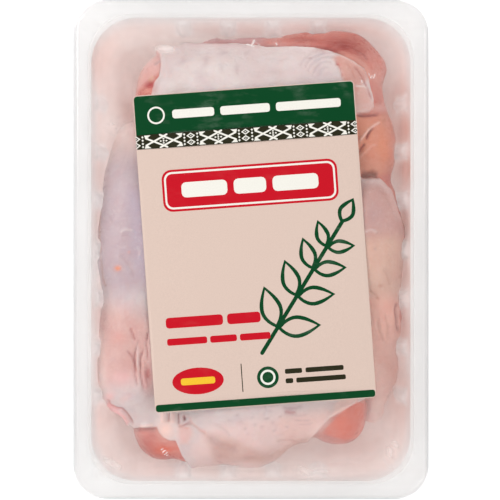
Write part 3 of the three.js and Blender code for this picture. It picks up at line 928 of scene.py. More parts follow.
UPPER_SPOTS = [
    (144, 90, 12.0, 4.0, -6, 0.0, "coral", 0.6),
    (147.6, 84.4, 7.2, 4.8, 10, -0.9, "blood_red", 1.0),
    (138, 91, 5.0, 3.0, 20, 0.0, "muscle", 0.8),
    (146, 88.6, 8.0, 3.0, 0, 0.0, "coral", 0.7),
    (131, 92, 4.0, 10.0, 8, 0.0, "coral", 0.45),
    (131, 148, 2.4, 2.4, 0, 0.0, "blood_red", 0.7),
    (183, 60, 5.0, 3.4, 60, 0.0, "bruise_and_shade", 0.30),
    (206, 60, 6.5, 3.0, 70, 0.0, "bruise_and_shade", 0.40),
    (224, 53, 5.0, 2.2, 10, 0.0, "bruise_and_shade", 0.35),
    (237, 68, 2.6, 5.5, 0, 0.0, "bruise_and_shade", 0.40),
    (247, 53, 4.5, 2.4, 20, 0.0, "bruise_and_shade", 0.35),
    (221, 67, 2.6, 4.5, 0, 0.0, "bruise_and_shade", 0.35),
    (196, 72, 7.0, 3.0, 15, 0.0, "bruise_and_shade", 0.20),
    (275, 72, 9.0, 3.0, -4, 0.0, "bruise_and_shade", 0.22),
    (310, 58, 2.6, 1.1, 5, -0.4, "bruise_and_shade", 0.75),
    (337.5, 64.5, 2.0, 1.2, 10, -0.4, "muscle", 0.7),
    (306, 80, 7.0, 5.0, 0, 0.0, "bruise_and_shade", 0.30),
    # deep muscle with painted shade beside the skin's top edge
    (342, 43, 20.0, 9.5, -8, 0.0, "deep_muscle_and_shade", 0.95),
    (304, 38, 20.0, 4.0, -3, 0.0, "deep_muscle_and_shade", 0.55),
    (362, 52, 9.0, 12.0, 40, 0.0, "deep_muscle_and_shade", 0.35),
    (326, 47.5, 9.0, 3.0, 12, -0.4, "deep_muscle_and_shade", 0.8),
    (380, 78, 6.0, 16.0, 8, 0.0, "low_rose", 0.45),
    (375, 249, 1.6, 1.4, 0, -0.2, "bruise_and_shade", 0.5),
    (380.7, 286, 2.4, 1.6, 20, -0.3, "brown_and_edge_shade", 0.6),
    (377, 298, 1.6, 1.2, 0, -0.2, "brown_and_edge_shade", 0.5),
    (374, 214, 9.0, 12.0, 0, 0.0, "bruise_and_shade", 0.30),
    (398, 190, 6.0, 14.0, 0, 0.0, "drum_tan", 0.30),
]
LOWER_SKIN = [
    (60, 130), (160, 110), (260, 230), (340, 260), (385, 330), (368, 398), (355, 404.5), (341, 411),
    (330, 418.5),
    (325, 424), (314.5, 435.5), (300, 452), (280, 468), (250, 480), (205, 480), (192, 470), (181, 455),
    (178, 447),
    (175.5, 441), (170, 441), (163, 437.5), (158.5, 432), (156.5, 427), (148, 428), (140, 427.6), (134, 429),
    (127.4, 426), (124, 420.5), (119.5, 415), (112, 411), (107.6, 405.5), (104.5, 400), (60, 398),
]
LOWER_AREAS = [
    ([(80, 140), (150, 150), (160, 230), (150, 288), (120, 300), (80, 280)], 16.0, "lilac", 0.85, 0.0),
    ([(128, 190), (150, 190), (150, 285), (138, 275), (131, 240)], 8.0, "blue_lilac", 0.5, 0.0),
    ([(80, 312), (120, 306), (156, 318), (160, 360), (156, 390), (130, 380), (105, 384), (80, 360)],
     14.0, "rose", 0.85, 0.0),
    ([(205, 428), (250, 420), (330, 412), (330, 425), (300, 450), (270, 474), (200, 480), (190, 450)],
     8.0, "rosy", 0.85, 0.0),
    ([(280, 418), (335, 408), (328, 424), (300, 450), (285, 450), (278, 432)], 8.0, "rosy_warm", 0.6, 0.0),
    ([(177.5, 424), (190, 426), (193, 434), (188, 443), (180, 444)], 3.5, "pink", 0.7, 0.5),
    # painted shadow under the skin roll
    ([(205, 434), (230, 438), (262, 452), (290, 446), (314, 436), (300, 452), (262, 466), (215, 462)],
     6.0, "brown_and_edge_shade", 0.5, 0.0),
    # painted light over the label's shadow
    ([(337, 400), (360, 396), (346, 411.5), (331, 418)], 2.5, "fat_and_highlight", 0.8, 0.3),
    # painted light over low, shaded flesh
    ([(80, 80), (165, 80), (160, 146), (80, 158)], 20.0, "veil_light", 0.9, 0.0),
    ([(322, 436), (331, 425), (343, 412), (356, 402), (367, 403), (366.6, 437), (357, 441), (345, 443)],
     1.6, "muscle_orange", 0.75, 0.0),
    # painted light over the lobe's shaded side by the wall
    ([(80, 325), (102, 335), (105, 400), (80, 400)], 8.0, "veil_light", 0.8, 0.0),
]
LOWER_CREASES = [
    # painted shade along the leg's outline against the wall
    ([(100.4, 205), (99, 222), (98.8, 240), (100.6, 256)], 2.6, 0.6, "brown_and_edge_shade", 0.7),
    ([(100.6, 256), (102.6, 277), (106, 290)], 2.4, 0.5, "brown_and_edge_shade", 0.45),
    # painted highlight on a lit ring
    ([(120, 233), (124, 230.4), (130, 229.6), (134, 231.5)], 2.0, -0.6, "pale_and_highlight", 0.55),
    ([(121, 236), (127, 235.4), (132, 237)], 1.8, 0.4, "bruise_and_shade", 0.4),
    ([(120, 254), (127, 263), (134.7, 278)], 3.0, 0.4, "bruise_and_shade", 0.35),
    ([(136, 246), (140, 251), (139, 257)], 2.0, -0.5, "pale_and_highlight", 0.4),
    ([(107, 213), (110, 217), (112, 223)], 1.8, 0.3, "bruise_and_shade", 0.35),
    ([(130, 327), (133, 334), (135, 341)], 2.0, 0.9, "magenta_and_shade", 0.6),
    ([(126, 350), (132, 356), (135, 364), (137, 374)], 1.9, 0.9, "magenta_and_shade", 0.55),
    ([(139, 338), (134.5, 354), (134.6, 372), (138, 388)], 1.9, 1.0, "magenta_and_shade", 0.5),
    ([(144, 346), (140, 360), (141, 378), (144, 392)], 1.9, 1.0, "magenta_and_shade", 0.6),
    ([(148, 330), (146.5, 345), (148.5, 362)], 1.8, 0.8, "magenta_and_shade", 0.5),
    ([(137, 340), (137.6, 356), (138, 372)], 2.6, -0.7, "pale_and_highlight", 0.35),
    ([(143, 358), (144, 374), (147, 390)], 2.4, -0.5, "pink", 0.4),
    ([(107.4, 396.6), (110.7, 403.6), (116.4, 407.7), (122, 408.8), (127, 413.6), (130.7, 419.3),
     (134.4, 425.4)],
     1.7, 1.1, "magenta_and_shade", 0.85),
    ([(107.6, 400), (112.4, 407.4), (119.2, 411), (124.2, 414.8), (127.6, 420), (130.6, 425.6)],
     3.4, -1.2, "curl", 0.8),
    ([(107.4, 404), (112, 409.8), (119.4, 413.8), (124.2, 419.2), (127.4, 425)], 1.8, 1.0, "magenta_and_shade", 0.7),
    # painted shadow line under the flap's edge
    ([(128, 427), (134, 430.4), (141, 431), (150, 430), (157, 430)], 3.6, 1.0, "blood_and_shadow", 0.6),
    ([(140, 426), (148, 425), (155, 424.6)], 2.4, -0.9, "fat_and_highlight", 0.6),
    ([(162.8, 411), (163.2, 424)], 4.5, -0.9, "fat_and_highlight", 0.6),
    # painted shade between the fat's folds
    ([(167.8, 412), (168.4, 422.4)], 1.9, 1.9, "magenta_and_shade", 0.7),
    ([(172.8, 411), (173.4, 424)], 4.0, -0.8, "rosy_warm", 0.7),
    ([(178.2, 412), (178.4, 425)], 1.9, 1.9, "magenta_and_shade", 0.7),
    ([(183, 415), (184.4, 418.4), (184.6, 421.4)], 2.4, 1.7, "magenta_and_shade", 0.9),
    ([(178, 426.6), (183, 426), (188, 423), (192, 424)], 1.8, 1.2, "magenta_and_shade", 0.6),
    ([(188, 418), (193, 424), (200, 430), (208, 434)], 2.2, 0.8, "coral", 0.5),
    ([(177.5, 424), (183, 427.6), (190, 429)], 1.6, 0.5, "coral", 0.5),
    # painted shadow along the roll's lower edge
    ([(240, 458), (257, 460), (273, 456.5), (287, 450), (300, 443), (313, 435.4)],
     6.0, 0.8, "brown_and_edge_shade", 0.30),
    # painted shadow under the skin roll
    ([(207, 436), (220, 445), (240, 452)], 7.0, 0.7, "bruise_and_shade", 0.35),
    ([(300, 443), (290, 440), (276, 441)], 2.4, 0.5, "brown_and_edge_shade", 0.3),
    ([(291, 415), (299, 416), (308, 415)], 1.4, 0.3, "bruise_and_shade", 0.4),
    ([(294, 420), (303, 421), (311, 420)], 1.4, 0.3, "bruise_and_shade", 0.35),
    ([(298, 425), (306, 425), (314, 423)], 1.4, 0.3, "bruise_and_shade", 0.3),
    ([(281, 406.6), (288, 408.4), (296, 408.4), (304, 406)], 3.4, 0.4, "bruise_and_shade", 0.6),
    ([(284, 411.4), (290, 413), (297, 412.6)], 3.4, 0.5, "magenta_and_shade", 0.65),
    ([(214, 424), (224, 429), (232, 437)], 2.4, 0.5, "bruise_and_shade", 0.25),
    ([(262, 400), (266, 410), (264, 418)], 2.2, 0.4, "bruise_and_shade", 0.2),
]
LOWER_SPOTS = [
    (118, 268, 3.6, 3.0, 0, 0.25, "orange", 0.95),
    (128.8, 252, 1.4, 1.4, 0, 0.1, "coral", 0.5),
    (119, 337, 9.0, 8.0, 0, 0.1, "muscle_pale", 0.28),
    (147.5, 374, 3.4, 7.0, 0, -0.6, "magenta_and_shade", 0.9),
    (148, 386, 6.0, 14.0, 0, -0.3, "magenta_and_shade", 0.35),
    (122, 378, 14.0, 9.0, 0, 0.0, "pink_lilac", 0.55),
    (126, 398, 8.0, 4.0, 30, 0.0, "pink_lilac", 0.35),
    (166, 430, 9.0, 10.5, -20, 0.8, "fat_and_highlight", 0.95),
    (245, 428.7, 1.3, 1.3, 0, -0.3, "bruise_and_shade", 0.6),
    (255, 424.7, 1.8, 1.1, 0, -0.3, "bruise_and_shade", 0.6),
    (274.7, 430.7, 1.8, 1.1, 20, -0.3, "bruise_and_shade", 0.6),
    (286.7, 427, 1.8, 1.1, -10, -0.3, "bruise_and_shade", 0.6),
    (280, 417, 1.5, 1.1, 0, -0.3, "bruise_and_shade", 0.6),
    (267, 419, 2.6, 1.3, 10, -0.2, "bruise_and_shade", 0.6),
    (237, 415, 2.2, 1.3, 0, -0.2, "bruise_and_shade", 0.6),
    (291, 411, 8.0, 5.0, 5, 0.0, "bruise_and_shade", 0.35),
    (110, 396.4, 5.5, 4.0, 20, 0.4, "curl", 0.45),
    (229, 420.4, 2.4, 0.9, 20, -0.2, "bruise_and_shade", 0.4),
    (241, 421.6, 1.9, 0.9, -30, -0.2, "bruise_and_shade", 0.45),
    (248, 433.6, 1.7, 0.8, 50, -0.2, "bruise_and_shade", 0.35),
    (252, 417.4, 2.6, 1.0, 10, -0.2, "bruise_and_shade", 0.4),
    (262, 426.6, 1.9, 0.9, -15, -0.3, "bruise_and_shade", 0.5),
    (270, 411.4, 3.0, 1.2, -10, -0.2, "bruise_and_shade", 0.4),
    (273, 422.6, 1.8, 0.8, 40, -0.2, "bruise_and_shade", 0.45),
    (281, 434.6, 2.2, 0.9, 0, -0.2, "bruise_and_shade", 0.35),
    (294, 430.4, 1.9, 0.9, 20, -0.2, "bruise_and_shade", 0.3),
    # painted shadow under the skin roll
    (225, 448, 9.0, 7.0, 20, 0.0, "brown_and_edge_shade", 0.35),
    (343, 428, 9.0, 11.0, 40, -0.3, "muscle_orange", 0.7),
    (148, 440, 11.0, 7.0, 35, 0.0, "muscle", 0.5),
    (163, 453, 12.0, 6.0, 10, 0.0, "muscle_orange", 0.85),
]


def paint(points, noise, skin, areas, creases, spots, tone, bare_tone):
    """Height to add, colour and muscle share over one leg."""
    u, v = photo_place(points)
    u, v = u + PAINT_WANDER * noise[0], v + PAINT_WANDER * noise[1]
    facing_up = smoothstep(*SKIN_SHOWS, points[2])
    edge = past_outline(u, v, skin)
    bare = smoothstep(-0.9, 0.9, edge)
    roll, roll_at, roll_width = SKIN_EDGE
    height = (-SKIN_THICKNESS * bare + roll * bell(edge + roll_at, roll_width)) * facing_up
    tone = mix(tone, bare_tone, bare)
    muscle = bare.copy()
    for outline_px, softness, ink, share, lift in areas:
        inside = 1 - smoothstep(-softness, softness, past_outline(u, v, outline_px))
        tone = mix(tone, INK_OF_FLESH[ink], share * inside)
        height += lift * inside * facing_up
        muscle *= 1 - 0.5 * inside
    for line, width, depth, ink, share in creases:
        strength = groove(u, v, line, width)
        tone = mix(tone, INK_OF_FLESH[ink], share * strength)
        height -= depth * strength * facing_up
    for cx, cy, rx, ry, turn, lift, ink, share in spots:
        strength = np.exp(-(spot_reach(u, v, cx, cy, rx, ry, turn) ** 2) * 1.2)
        tone = mix(tone, INK_OF_FLESH[ink], share * strength)
        height += lift * strength * facing_up
    return height, tone, muscle


def base_tones(points, which):
    """The cloudy colours of one leg's skin and of its bare muscle, before anything is painted on them."""
    cloud, broad = fractal_noise(points, 7, 31 + which), fractal_noise(points, 24, 41 + which)
    tone = mix(INK_OF_FLESH["skin"], INK_OF_FLESH["pale_and_highlight"], 0.6 * smoothstep(-0.1, 0.5, broad))
    tone = mix(tone, INK_OF_FLESH["lilac"], 0.30 * smoothstep(0.0, 0.6, cloud))
    deep = mix(INK_OF_FLESH["muscle_pale"], INK_OF_FLESH["muscle"], smoothstep(-0.5, 0.5, broad))
    return tone, mix(deep, INK_OF_FLESH["muscle_orange"], 0.35 * smoothstep(0.0, 0.6, cloud))


def leg_axes():
    """The grid's places along X, Y and Z."""
    cell = LEG_CELL
    coarse = np.arange(0.0, LEG_FINE_FROM, LEG_COARSE_STEP)
    fine = np.arange(LEG_FINE_FROM, TRAY_HEIGHT + 4, 1.3 * cell)
    return [np.arange(-half, half, cell) for half in MOUTH] + [np.concatenate([coarse, fine])]


def leg_pieces():
    axes = leg_axes()
    grid = np.meshgrid(*axes, indexing="ij", sparse=True)
    material = flesh_material()
    both = pressed_legs(grid)
    painted = (
        ("leg_upper", UPPER_SKIN, UPPER_AREAS, UPPER_CREASES, UPPER_SPOTS),
        ("leg_lower", LOWER_SKIN, LOWER_AREAS, LOWER_CREASES, LOWER_SPOTS),
    )
    for which, (name, skin, areas, creases, spots) in enumerate(painted):
        vertices, quads = surface_net(both[which], axes)
        for _ in range(2):
            normal = gradient(lambda points: pressed_legs(points)[which], vertices.T)
            distance = pressed_legs(vertices.T)[which]
            vertices = vertices - normal * np.clip(distance, -0.6, 0.6)[:, None]
        points = vertices.T
        noise = [fractal_noise(points, 8, 11 + which), fractal_noise(points, 8, 21 + which)]
        tone, deep = base_tones(points, which)
        height, tone, muscle = paint(points, noise, skin, areas, creases, spots, tone, deep)
        lumps = 0.35 * fractal_noise(points, 12, 51) + 0.20 * fractal_noise(points, 4, 61)
        relief = np.minimum(height, TALLEST_RELIEF) + lumps * (1 - 0.3 * muscle)
        moved = vertices + normal * relief[:, None]
        ceiling = FILM_BOTTOM + film_rise(moved[:, 0], moved[:, 1]) - FLESH_UNDER_FILM
        moved[:, 2] = np.minimum(moved[:, 2], ceiling)
        leg = make_object(name, moved, quads, [material])
        give_colours(leg, "tone", np.clip(tone, 0, 1))
        give_values(leg, "muscle", muscle)
        dress(leg, "raw_chicken", "leg_quarter_" + name.split("_")[1])


# ================================================================== film


# Wrinkles are lines in pixels of the photo with a width and a height in mm and a share of fog, which paints a
# highlight along the ridge. The patches after them are a centre and half sizes in pixels, a turn in degrees,
# and a share of fog; they paint highlights and reflections on the film and lift shaded places with painted
# light. A share below zero is a place wiped clear, where the film clings to wet flesh.
# real ridges, each with a fog share that paints a highlight along it
FILM_WRINKLES = [
    ([(254.8, 39.6), (253.2, 43.0), (251.0, 46.4)], 0.55, 0.45, 0.8),
    ([(246.0, 44.4), (250.0, 45.2), (254.4, 47.0)], 0.5, 0.35, 0.7),
    ([(257.6, 43.6), (260.0, 46.0)], 0.4, 0.3, 0.5),
    ([(275.8, 42.6), (277.4, 45.8)], 0.4, 0.3, 0.5),
    ([(368.2, 73.0), (370.0, 76.4)], 0.35, 0.3, 0.45),
    ([(372.4, 75.0), (370.4, 79.2)], 0.4, 0.3, 0.4),
    ([(375.2, 73.8), (373.0, 79.0)], 0.4, 0.3, 0.45),
    ([(361.4, 79.6), (361.8, 83.4)], 0.6, 0.3, 0.4),
    ([(160.8, 450.2), (163.6, 448.0)], 0.3, 0.25, 0.5),
    ([(162.2, 452.8), (166.2, 449.6)], 0.3, 0.25, 0.5),
    ([(164.0, 455.0), (167.8, 451.8)], 0.3, 0.25, 0.5),
    ([(166.2, 456.2), (168.6, 454.2)], 0.3, 0.25, 0.5),
]
# patches of fog that paint highlights, reflections and light over shaded places; below zero, places wiped
# clear
FILM_LIGHTS_AND_WIPES = [
    (300, 470, 110, 10, 0, 0.28), (250, 25, 130, 7, 0, 0.22), (129, 84, 11, 40, -8, 0.24),
    (116, 124, 24, 20, 0, 0.28), (96, 260, 6, 90, 0, 0.22), (378, 428, 26, 20, 0, 0.25),
    (345, 46, 26, 12, -10, -0.7), (300, 38, 26, 5, -3, -0.7), (148, 82, 12, 12, -30, -0.9),
    (160, 451, 18, 12, -20, -0.6), (346, 425, 18, 16, 40, -0.25), (340, 461, 44, 13, 8, 0.22),
    (165, 49, 11, 4, 5, 0.6), (304, 472, 11, 2.6, -46, 0.5), (391, 450, 17, 3.6, 58, 0.42),
    (389, 466, 5, 4, 0, 0.3), (113, 463.5, 15, 3.6, -26, 0.45),
]


# Depths under the film at which it is asked whether there is flesh, each with its share of the fog
OPEN_AIR_DEPTHS = ((2.5, 0.3), (7.0, 0.3), (14.0, 0.2), (24.0, 0.2))


def plan_place(pixels, z):
    """The points at height z that fall on these pixels of the photo."""
    scale = MM_PER_PIXEL * (CAMERA_ABOVE_RIM + TRAY_HEIGHT - z) / CAMERA_ABOVE_RIM
    pixels = np.array(pixels, float)
    return (pixels - TRAY_CENTRE_PIXEL) * [scale, -scale]


def rows_along(line, width):
    """Points in rows beside a line, close enough to carry a ridge of this width."""
    lengths = np.concatenate([[0], np.cumsum(np.linalg.norm(np.diff(line, axis=0), axis=1))])
    at = np.linspace(0, lengths[-1], max(4, math.ceil(lengths[-1] / max(0.7 * width, 0.35))))
    middle = np.column_stack([np.interp(at, lengths, line[:, k]) for k in (0, 1)])
    along = np.gradient(middle, axis=0)
    side = np.column_stack([-along[:, 1], along[:, 0]]) / np.linalg.norm(along, axis=1, keepdims=True)
    return np.concatenate([middle + side * width * share for share in (-2, -1.2, -0.6, 0, 0.6, 1.2, 2)])


def closed_sheet(x, y, low_z, triangles, thickness):
    """A thin closed sheet over a triangulated plan. The faces are its top, its bottom and then its sides."""
    low = np.column_stack([x, y, low_z])
    a, b, c = triangles.T
    turning = ((x[b] - x[a]) * (y[c] - y[a]) - (x[c] - x[a]) * (y[b] - y[a]) > 0)[:, None]
    count = len(low)
    top = np.where(turning, triangles, triangles[:, ::-1]) + count
    bottom = np.where(turning, triangles[:, ::-1], triangles)
    edges = np.concatenate([top[:, [0, 1]], top[:, [1, 2]], top[:, [2, 0]]])
    key = edges[:, 0].astype(np.int64) * 10**7 + edges[:, 1]
    back_key = edges[:, 1].astype(np.int64) * 10**7 + edges[:, 0]
    rim = edges[~np.isin(key, back_key)]
    near, far = rim[:, 1], rim[:, 0]
    sides = np.concatenate([
        np.column_stack([near, far, far - count]),
        np.column_stack([near, far - count, near - count]),
    ])
    return np.vstack([low, low + [0, 0, thickness]]), np.vstack([top, bottom, sides])


def film_piece():
    half = np.array([TRAY_WIDTH, TRAY_LENGTH]) / 2 - FILM_SETBACK
    edge, _, _ = outline(half, RIM_CORNER - FILM_SETBACK, per_side=(70, 50), arc=10)
    wrinkles = [(plan_place(line, FILM_BOTTOM), *rest) for line, *rest in FILM_WRINKLES]
    grid = np.meshgrid(*[np.arange(-h + FILM_SPACING, h - 0.5 * FILM_SPACING, FILM_SPACING) for h in half])
    grid = np.column_stack([g.ravel() for g in grid])
    rows = [rows_along(line, width) for line, width, _, _ in wrinkles]
    inner = np.concatenate([grid] + rows)
    past_corner = np.hypot(*np.maximum(np.abs(inner) - (half - RIM_CORNER), 0).T) > RIM_CORNER - 1.5
    inner = inner[~past_corner]
    points = [tuple(p) for p in np.concatenate([edge, inner])]
    flat, _, triangles, _, _, _ = delaunay_2d_cdt(points, [], [list(range(len(edge)))], 1, 1e-3)
    x, y = np.array([tuple(p) for p in flat]).T
    within = np.maximum(np.abs(x) / MOUTH[0], np.abs(y) / MOUTH[1])
    slack = 0.16 * value_noise((x, y, 0 * x), 17, 71) * (1 - within**6).clip(0)
    u, v = photo_place((x, y, np.full(x.shape, FILM_BOTTOM)))
    open_air = np.zeros(x.shape)
    for depth, share in OPEN_AIR_DEPTHS:
        below = [x, y, FILM_BOTTOM + film_rise(x, y) - depth]
        clear = np.minimum(leg_form(below, UPPER_LEG), leg_form(below, LOWER_LEG))
        open_air += share * smoothstep(-2, 5, clear)
    inside = smoothstep(0, 6, np.minimum(MOUTH[0] - np.abs(x), MOUTH[1] - np.abs(y)))
    fog_and_highlights = CLEAR_FOG + FILM_FOG * open_air * inside
    # painted highlights, reflections and light over shade on the film, and wiped places
    for cx, cy, rx, ry, turn, share in FILM_LIGHTS_AND_WIPES:
        reach = np.exp(-(spot_reach(u, v, cx, cy, rx, ry, turn) ** 2))
        fog_and_highlights = np.maximum(fog_and_highlights, share * reach) if share > 0 else fog_and_highlights * (1 + share * reach)
    # the fog along each ridge is a painted highlight
    for line, width, lift, share in wrinkles:
        ridge = groove(x, y, line, 2 * width, ends=0.12)
        slack = slack + lift * ridge
        fog_and_highlights = np.maximum(fog_and_highlights, share * ridge)
    low = FILM_BOTTOM + film_rise(x, y) + slack
    vertices, faces = closed_sheet(x, y, low, np.array(triangles), FILM_SHEET)
    film = make_object("film_sheet", vertices, faces, [film_material()])
    give_values(film, "haze_and_highlights", np.tile(fog_and_highlights, 2))
    dress(film, "clear_film", "lid_film")


# ================================================================== label

# Inks, in the order of the label's material slots
INKS = {
    "paper": PAPER,
    "back": PAPER_BACK,
    "green": PRINT_GREEN,
    "dark": PRINT_DARK,
    "cream": PRINT_CREAM,
    "red": PRINT_RED,
    "yellow": PRINT_YELLOW,
}


def rounded_box(x0, y0, x1, y1, radius, steps=5):
    left, right, near, far = x0 + radius, x1 - radius, y0 + radius, y1 - radius
    points = []
    for quarter, (cx, cy) in enumerate(((right, far), (left, far), (left, near), (right, near))):
        for i in range(steps + 1):
            angle = (quarter + i / steps) * math.pi / 2
            points.append((cx + radius * math.cos(angle), cy + radius * math.sin(angle)))
    return points


def ellipse(cx, cy, rx, ry, steps=32):
    angles = [2 * math.pi * i / steps for i in range(steps)]
    return [(cx + rx * math.cos(angle), cy + ry * math.sin(angle)) for angle in angles]


def diamond(cx, cy, rx, ry):
    return [(cx + rx, cy), (cx, cy + ry), (cx - rx, cy), (cx, cy - ry)]


def stroke(path, width):
    """The outline of a line of even width with round ends."""
    path = np.array(path, float)
    along = np.gradient(path, axis=0)
    along /= np.linalg.norm(along, axis=1, keepdims=True)
    side = np.column_stack([-along[:, 1], along[:, 0]]) * width / 2

    def end(point, direction, across):
        turns = np.linspace(0, math.pi, 6)[1:-1]
        return [point + across * math.cos(t) + direction * math.sin(t) * width / 2 for t in turns]

    left, right = path + side, path - side
    last, first = end(path[-1], along[-1], side[-1]), end(path[0], -along[0], -side[0])
    return [tuple(p) for p in list(left) + last + list(right[::-1]) + first]


def leaf(base, tip, bulge, steps=12):
    """A pointed leaf from base to tip."""
    base, tip = np.array(base, float), np.array(tip, float)
    along = tip - base
    side = np.array([-along[1], along[0]]) / np.linalg.norm(along)
    t = np.linspace(0, 1, steps)
    swell_out = np.sin(math.pi * t**0.85) * bulge
    one = base + np.outer(t, along) + np.outer(swell_out, side)
    other = base + np.outer(t[1:-1], along) - np.outer(swell_out[1:-1], side)
    return [tuple(p) for p in np.vstack([one, other[::-1]])]


def counterclockwise(points):
    x, y = np.array(points, float).T
    area = (x * np.roll(y, -1) - np.roll(x, -1) * y).sum()
    return list(points) if area > 0 else list(points)[::-1]


def shrink(points, amount):
    """The same outline moved in by about amount, towards its middle."""
    points = np.array(points, float)
    middle = points.mean(0)
    ray = points - middle
    length = np.linalg.norm(ray, axis=1, keepdims=True)
    return [tuple(p) for p in middle + ray * np.maximum(1 - amount / length, 0.2)]


def words(x, y, height, lengths, gap, ink):
    """A line of print as plain bars."""
    made = []
    for length in lengths:
        made.append((ink, rounded_box(x, y - height / 2, x + length, y + height / 2, 0.3 * height, 3)))
        x += length + gap
    return made


def ornament(y0, y1):
    """A woven border between two heights: crossed bands with hooked ends round a star of small lozenges, then
    a pair of nested lozenges between columns of dots."""
    middle, reach = (y0 + y1) / 2, (y1 - y0) / 2 - 0.35
    made = []

    def put(ink, points, x, side=1, flip=1):
        made.append((ink, [(x + side * px, middle + flip * py * reach) for px, py in points]))

    for i in range(-1, 4):
        x = ORNAMENT_START + i * ORNAMENT_PERIOD
        between = x + ORNAMENT_PERIOD / 2
        for side in (-1, 1):
            for flip in (-1, 1):
                bend = ((-1.8, 0.97), (3, 0.3), (9.2, -0.55))
                band = [(x + side * px, middle + flip * py * reach) for px, py in bend]
                made.append(("cream", stroke(band, 0.9)))
                put("cream", [(6.6, -1.0), (10.1, -1.0), (9.3, -0.38)], x, side, flip)
                put("cream", diamond(0, 0.5, 2.3, 0.46), between, side, flip)
                put("dark", diamond(0, 0.5, 1.35, 0.27), between, side, flip)
                put("cream", diamond(0, 0.5, 0.5, 0.10), between, side, flip)
                for height in (0.25, 0.75):
                    put("cream", diamond(3.4, height, 0.62, 0.19), between, side, flip)
        for across, up in ((0, 0), (1.5, 0), (-1.5, 0), (0, 0.32), (0, -0.32)):
            put("cream", diamond(across, up, 0.62, 0.15), x)
    return made


def sprig():
    """A line drawing of a leafy stem."""
    made = []
    t = np.linspace(0, 1, 22)
    stem = np.column_stack([58 + 47 * t + 5 * np.sin(math.pi * t), 139 - 66 * t - 7 * np.sin(math.pi * t)])
    width = 2.1
    for i, share in enumerate((0.16, 0.36, 0.56, 0.76)):
        at = stem[int(share * 21)]
        length = 23 - 2.6 * i
        for side in (-1, 1):
            heading = math.radians(-52 + side * 52)
            tip = at + length * np.array([math.cos(heading), math.sin(heading)])
            shape = leaf(at, tip, 0.26 * length)
            made.append(("green", shape))
            made.append(("paper", shrink(shape, width)))
    top = leaf(stem[-1] + [-1, 1], stem[-1] + [6.5, -11.5], 4.6)
    made += [("green", top), ("paper", shrink(top, width))]
    made.append(("green", stroke(stem, width)))
    return made


def label_print():
    """Every printed shape from the lowest to the highest, in mm from the label's top left corner, y down."""
    w, h = LABEL_WIDTH, LABEL_LENGTH
    edge = PRINT_EDGE
    top, bottom = BORDER_BAND
    shapes = [("green", rounded_box(edge, edge, w - edge, 24, LABEL_CORNER - edge))]
    shapes.append(("dark", [(edge, top), (w - edge, top), (w - edge, bottom), (edge, bottom)]))
    shapes += words(20, 11, 4.6, (22, 26, 34), 3.2, "cream")
    shapes += [("cream", ellipse(11.5, 11, 4.6, 4.6)), ("green", ellipse(11.5, 11, 3.7, 3.7))]
    shapes += ornament(top, bottom)
    for ink, inset, radius in (("red", 0, 5.0), ("cream", 1.2, 4.0), ("red", 2.2, 3.2)):
        shapes.append((ink, rounded_box(12 + inset, 40 + inset, 104 - inset, 62 - inset, radius)))
    shapes += words(22, 51, 8.0, (24, 17, 24), 3.4, "cream")
    shapes += sprig()
    shapes += words(8.8, 120, 5.6, (30, 17.5), 2.2, "red")
    shapes += words(8.8, 130, 3.6, (21, 14, 16), 1.6, "red")
    shapes.append(("red", ellipse(23.5, 151.2, 13.5, 7.0)))
    shapes.append(("yellow", rounded_box(14.5, 149.4, 32.5, 153.0, 1.2)))
    shapes.append(("dark", [(46.3, 143.8), (46.8, 143.8), (46.8, 158.6), (46.3, 158.6)]))
    for ink, radius in (("green", 5.7), ("cream", 4.0), ("green", 2.9)):
        shapes.append((ink, ellipse(60.1, 151.9, radius, radius)))
    shapes += words(69.2, 149.5, 2.6, (9, 20), 1.8, "dark")
    shapes += words(69.2, 154.5, 2.6, (4, 26), 1.6, "dark")
    shapes.append(("green", rounded_box(edge, 162.3, w - edge, h - edge, 1.4)))
    return shapes


def label_piece():
    inks = list(INKS)
    paper = rounded_box(0, 0, LABEL_WIDTH, LABEL_LENGTH, LABEL_CORNER)
    regions = [("paper", paper)] + label_print()
    points, loops = [], []
    for _, shape in regions:
        loops.append(list(range(len(points), len(points) + len(shape))))
        points += counterclockwise(shape)
    nx, ny = int(LABEL_WIDTH / LABEL_SPACING), int(LABEL_LENGTH / LABEL_SPACING)
    points += [
        ((i + 0.5) * LABEL_WIDTH / nx, (j + 0.5) * LABEL_LENGTH / ny) for i in range(nx) for j in range(ny)
    ]
    flat, _, faces, _, _, origins = delaunay_2d_cdt(points, [], loops, 0, 1e-4)
    flat = np.array([tuple(v) for v in flat])
    kept, ink_of = [], []
    for face, origin in zip(faces, origins):
        if 0 in origin:
            kept.append(face)
            ink_of.append(inks.index(regions[max(origin)][0]))
    kept = np.array(kept)
    used, renumbered = np.unique(kept, return_inverse=True)
    flat, kept = flat[used], renumbered.reshape(kept.shape)
    cos, sin = math.cos(LABEL_TURN), math.sin(LABEL_TURN)
    u, v = flat[:, 0] - LABEL_WIDTH / 2, LABEL_LENGTH / 2 - flat[:, 1]
    x, y = LABEL_AT[0] + u * cos - v * sin, LABEL_AT[1] + u * sin + v * cos
    under = FILM_BOTTOM + film_rise(x, y) + FILM_SHEET + LABEL_LIFT
    wave = sum(high * value_noise((x, y, 0 * x), length, seed) for high, length, seed in LABEL_WAVES)
    vertices, faces = closed_sheet(x, y, under + wave, kept, LABEL_SHEET)
    slots = ink_of + [inks.index("back")] * (len(faces) - len(kept))
    sheen = {ink: 0.11 if ink == "green" else 0.03 for ink in INKS}
    materials = [paper_material("ink_" + ink, colour, sheen[ink]) for ink, colour in INKS.items()]
    label = make_object("label_sheet", vertices, faces, materials, slots, smooth=False)
    dress(label, "label_paper", "label")


# ================================================================== floor, light and camera


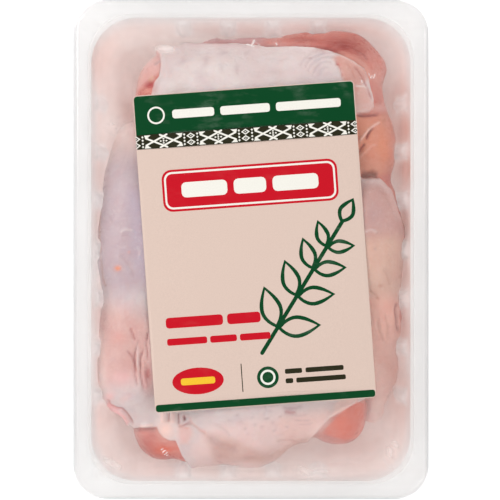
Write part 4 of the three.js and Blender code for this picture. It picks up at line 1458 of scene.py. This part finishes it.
def studio():
    world = bpy.data.worlds.new("studio")
    bpy.context.scene.world = world
    world.use_nodes = True
    tree = world.node_tree
    direction = tree.nodes.new("ShaderNodeTexCoord").outputs["Generated"]
    height = tree.nodes.new("ShaderNodeSeparateXYZ")
    tree.links.new(direction, height.inputs[0])
    dome = tree.nodes.new("ShaderNodeMapRange")
    dome.interpolation_type = "SMOOTHSTEP"
    for key, value in zip(("From Min", "From Max", "To Min", "To Max"), (*DOME_FADE, DOME_SIDE, DOME_TOP)):
        dome.inputs[key].default_value = value
    tree.links.new(height.outputs["Z"], dome.inputs["Value"])
    background = tree.nodes["Background"]
    background.inputs["Color"].default_value = (1.0, 1.0, 0.995, 1)
    tree.links.new(dome.outputs["Result"], background.inputs["Strength"])

    half = FLOOR_HALF
    corners = [(-half, -half, 0), (half, -half, 0), (half, half, 0), (-half, half, 0)]
    s = Shader("floor")
    s.set(Base_Color=(0.86, 0.86, 0.86), Roughness=0.9, Specular_IOR_Level=0.1)
    s.set(Emission_Color=(1, 1, 1), Emission_Strength=FLOOR_GLOW)
    floor = make_object("floor", corners, [(0, 1, 2, 3)], [s.material], smooth=False)

    for name, (place, size, watts) in SOFT_BOXES.items():
        light = bpy.data.lights.new(name, "AREA")
        light.shape = "SQUARE"
        light.size = size
        light.energy = watts
        lamp = bpy.data.objects.new(name, light)
        lamp.location = place
        lamp.rotation_mode = "QUATERNION"
        lamp.rotation_quaternion = (-Vector(place)).to_track_quat("-Z", "Y")
        bpy.context.scene.collection.objects.link(lamp)


def camera():
    data = bpy.data.cameras.new("photo_view")
    data.sensor_width = 36.0
    data.lens = data.sensor_width * CAMERA_ABOVE_RIM / (PHOTO_PIXELS * MM_PER_PIXEL)
    data.clip_end = 20.0
    made = bpy.data.objects.new("photo_view", data)
    middle = PHOTO_PIXELS / 2
    x = (middle - TRAY_CENTRE_PIXEL[0]) * MM_PER_PIXEL
    y = (TRAY_CENTRE_PIXEL[1] - middle) * MM_PER_PIXEL
    made.location = (x * MM, y * MM, (CAMERA_ABOVE_RIM + TRAY_HEIGHT) * MM)
    bpy.context.scene.collection.objects.link(made)
    bpy.context.scene.camera = made


camera()
studio()
tray_piece()
leg_pieces()
film_piece()
label_piece()

bpy.context.scene.view_settings.view_transform = "Standard"
bpy.context.scene.cycles.transparent_max_bounces = 16
bpy.context.scene.cycles.diffuse_bounces = 8
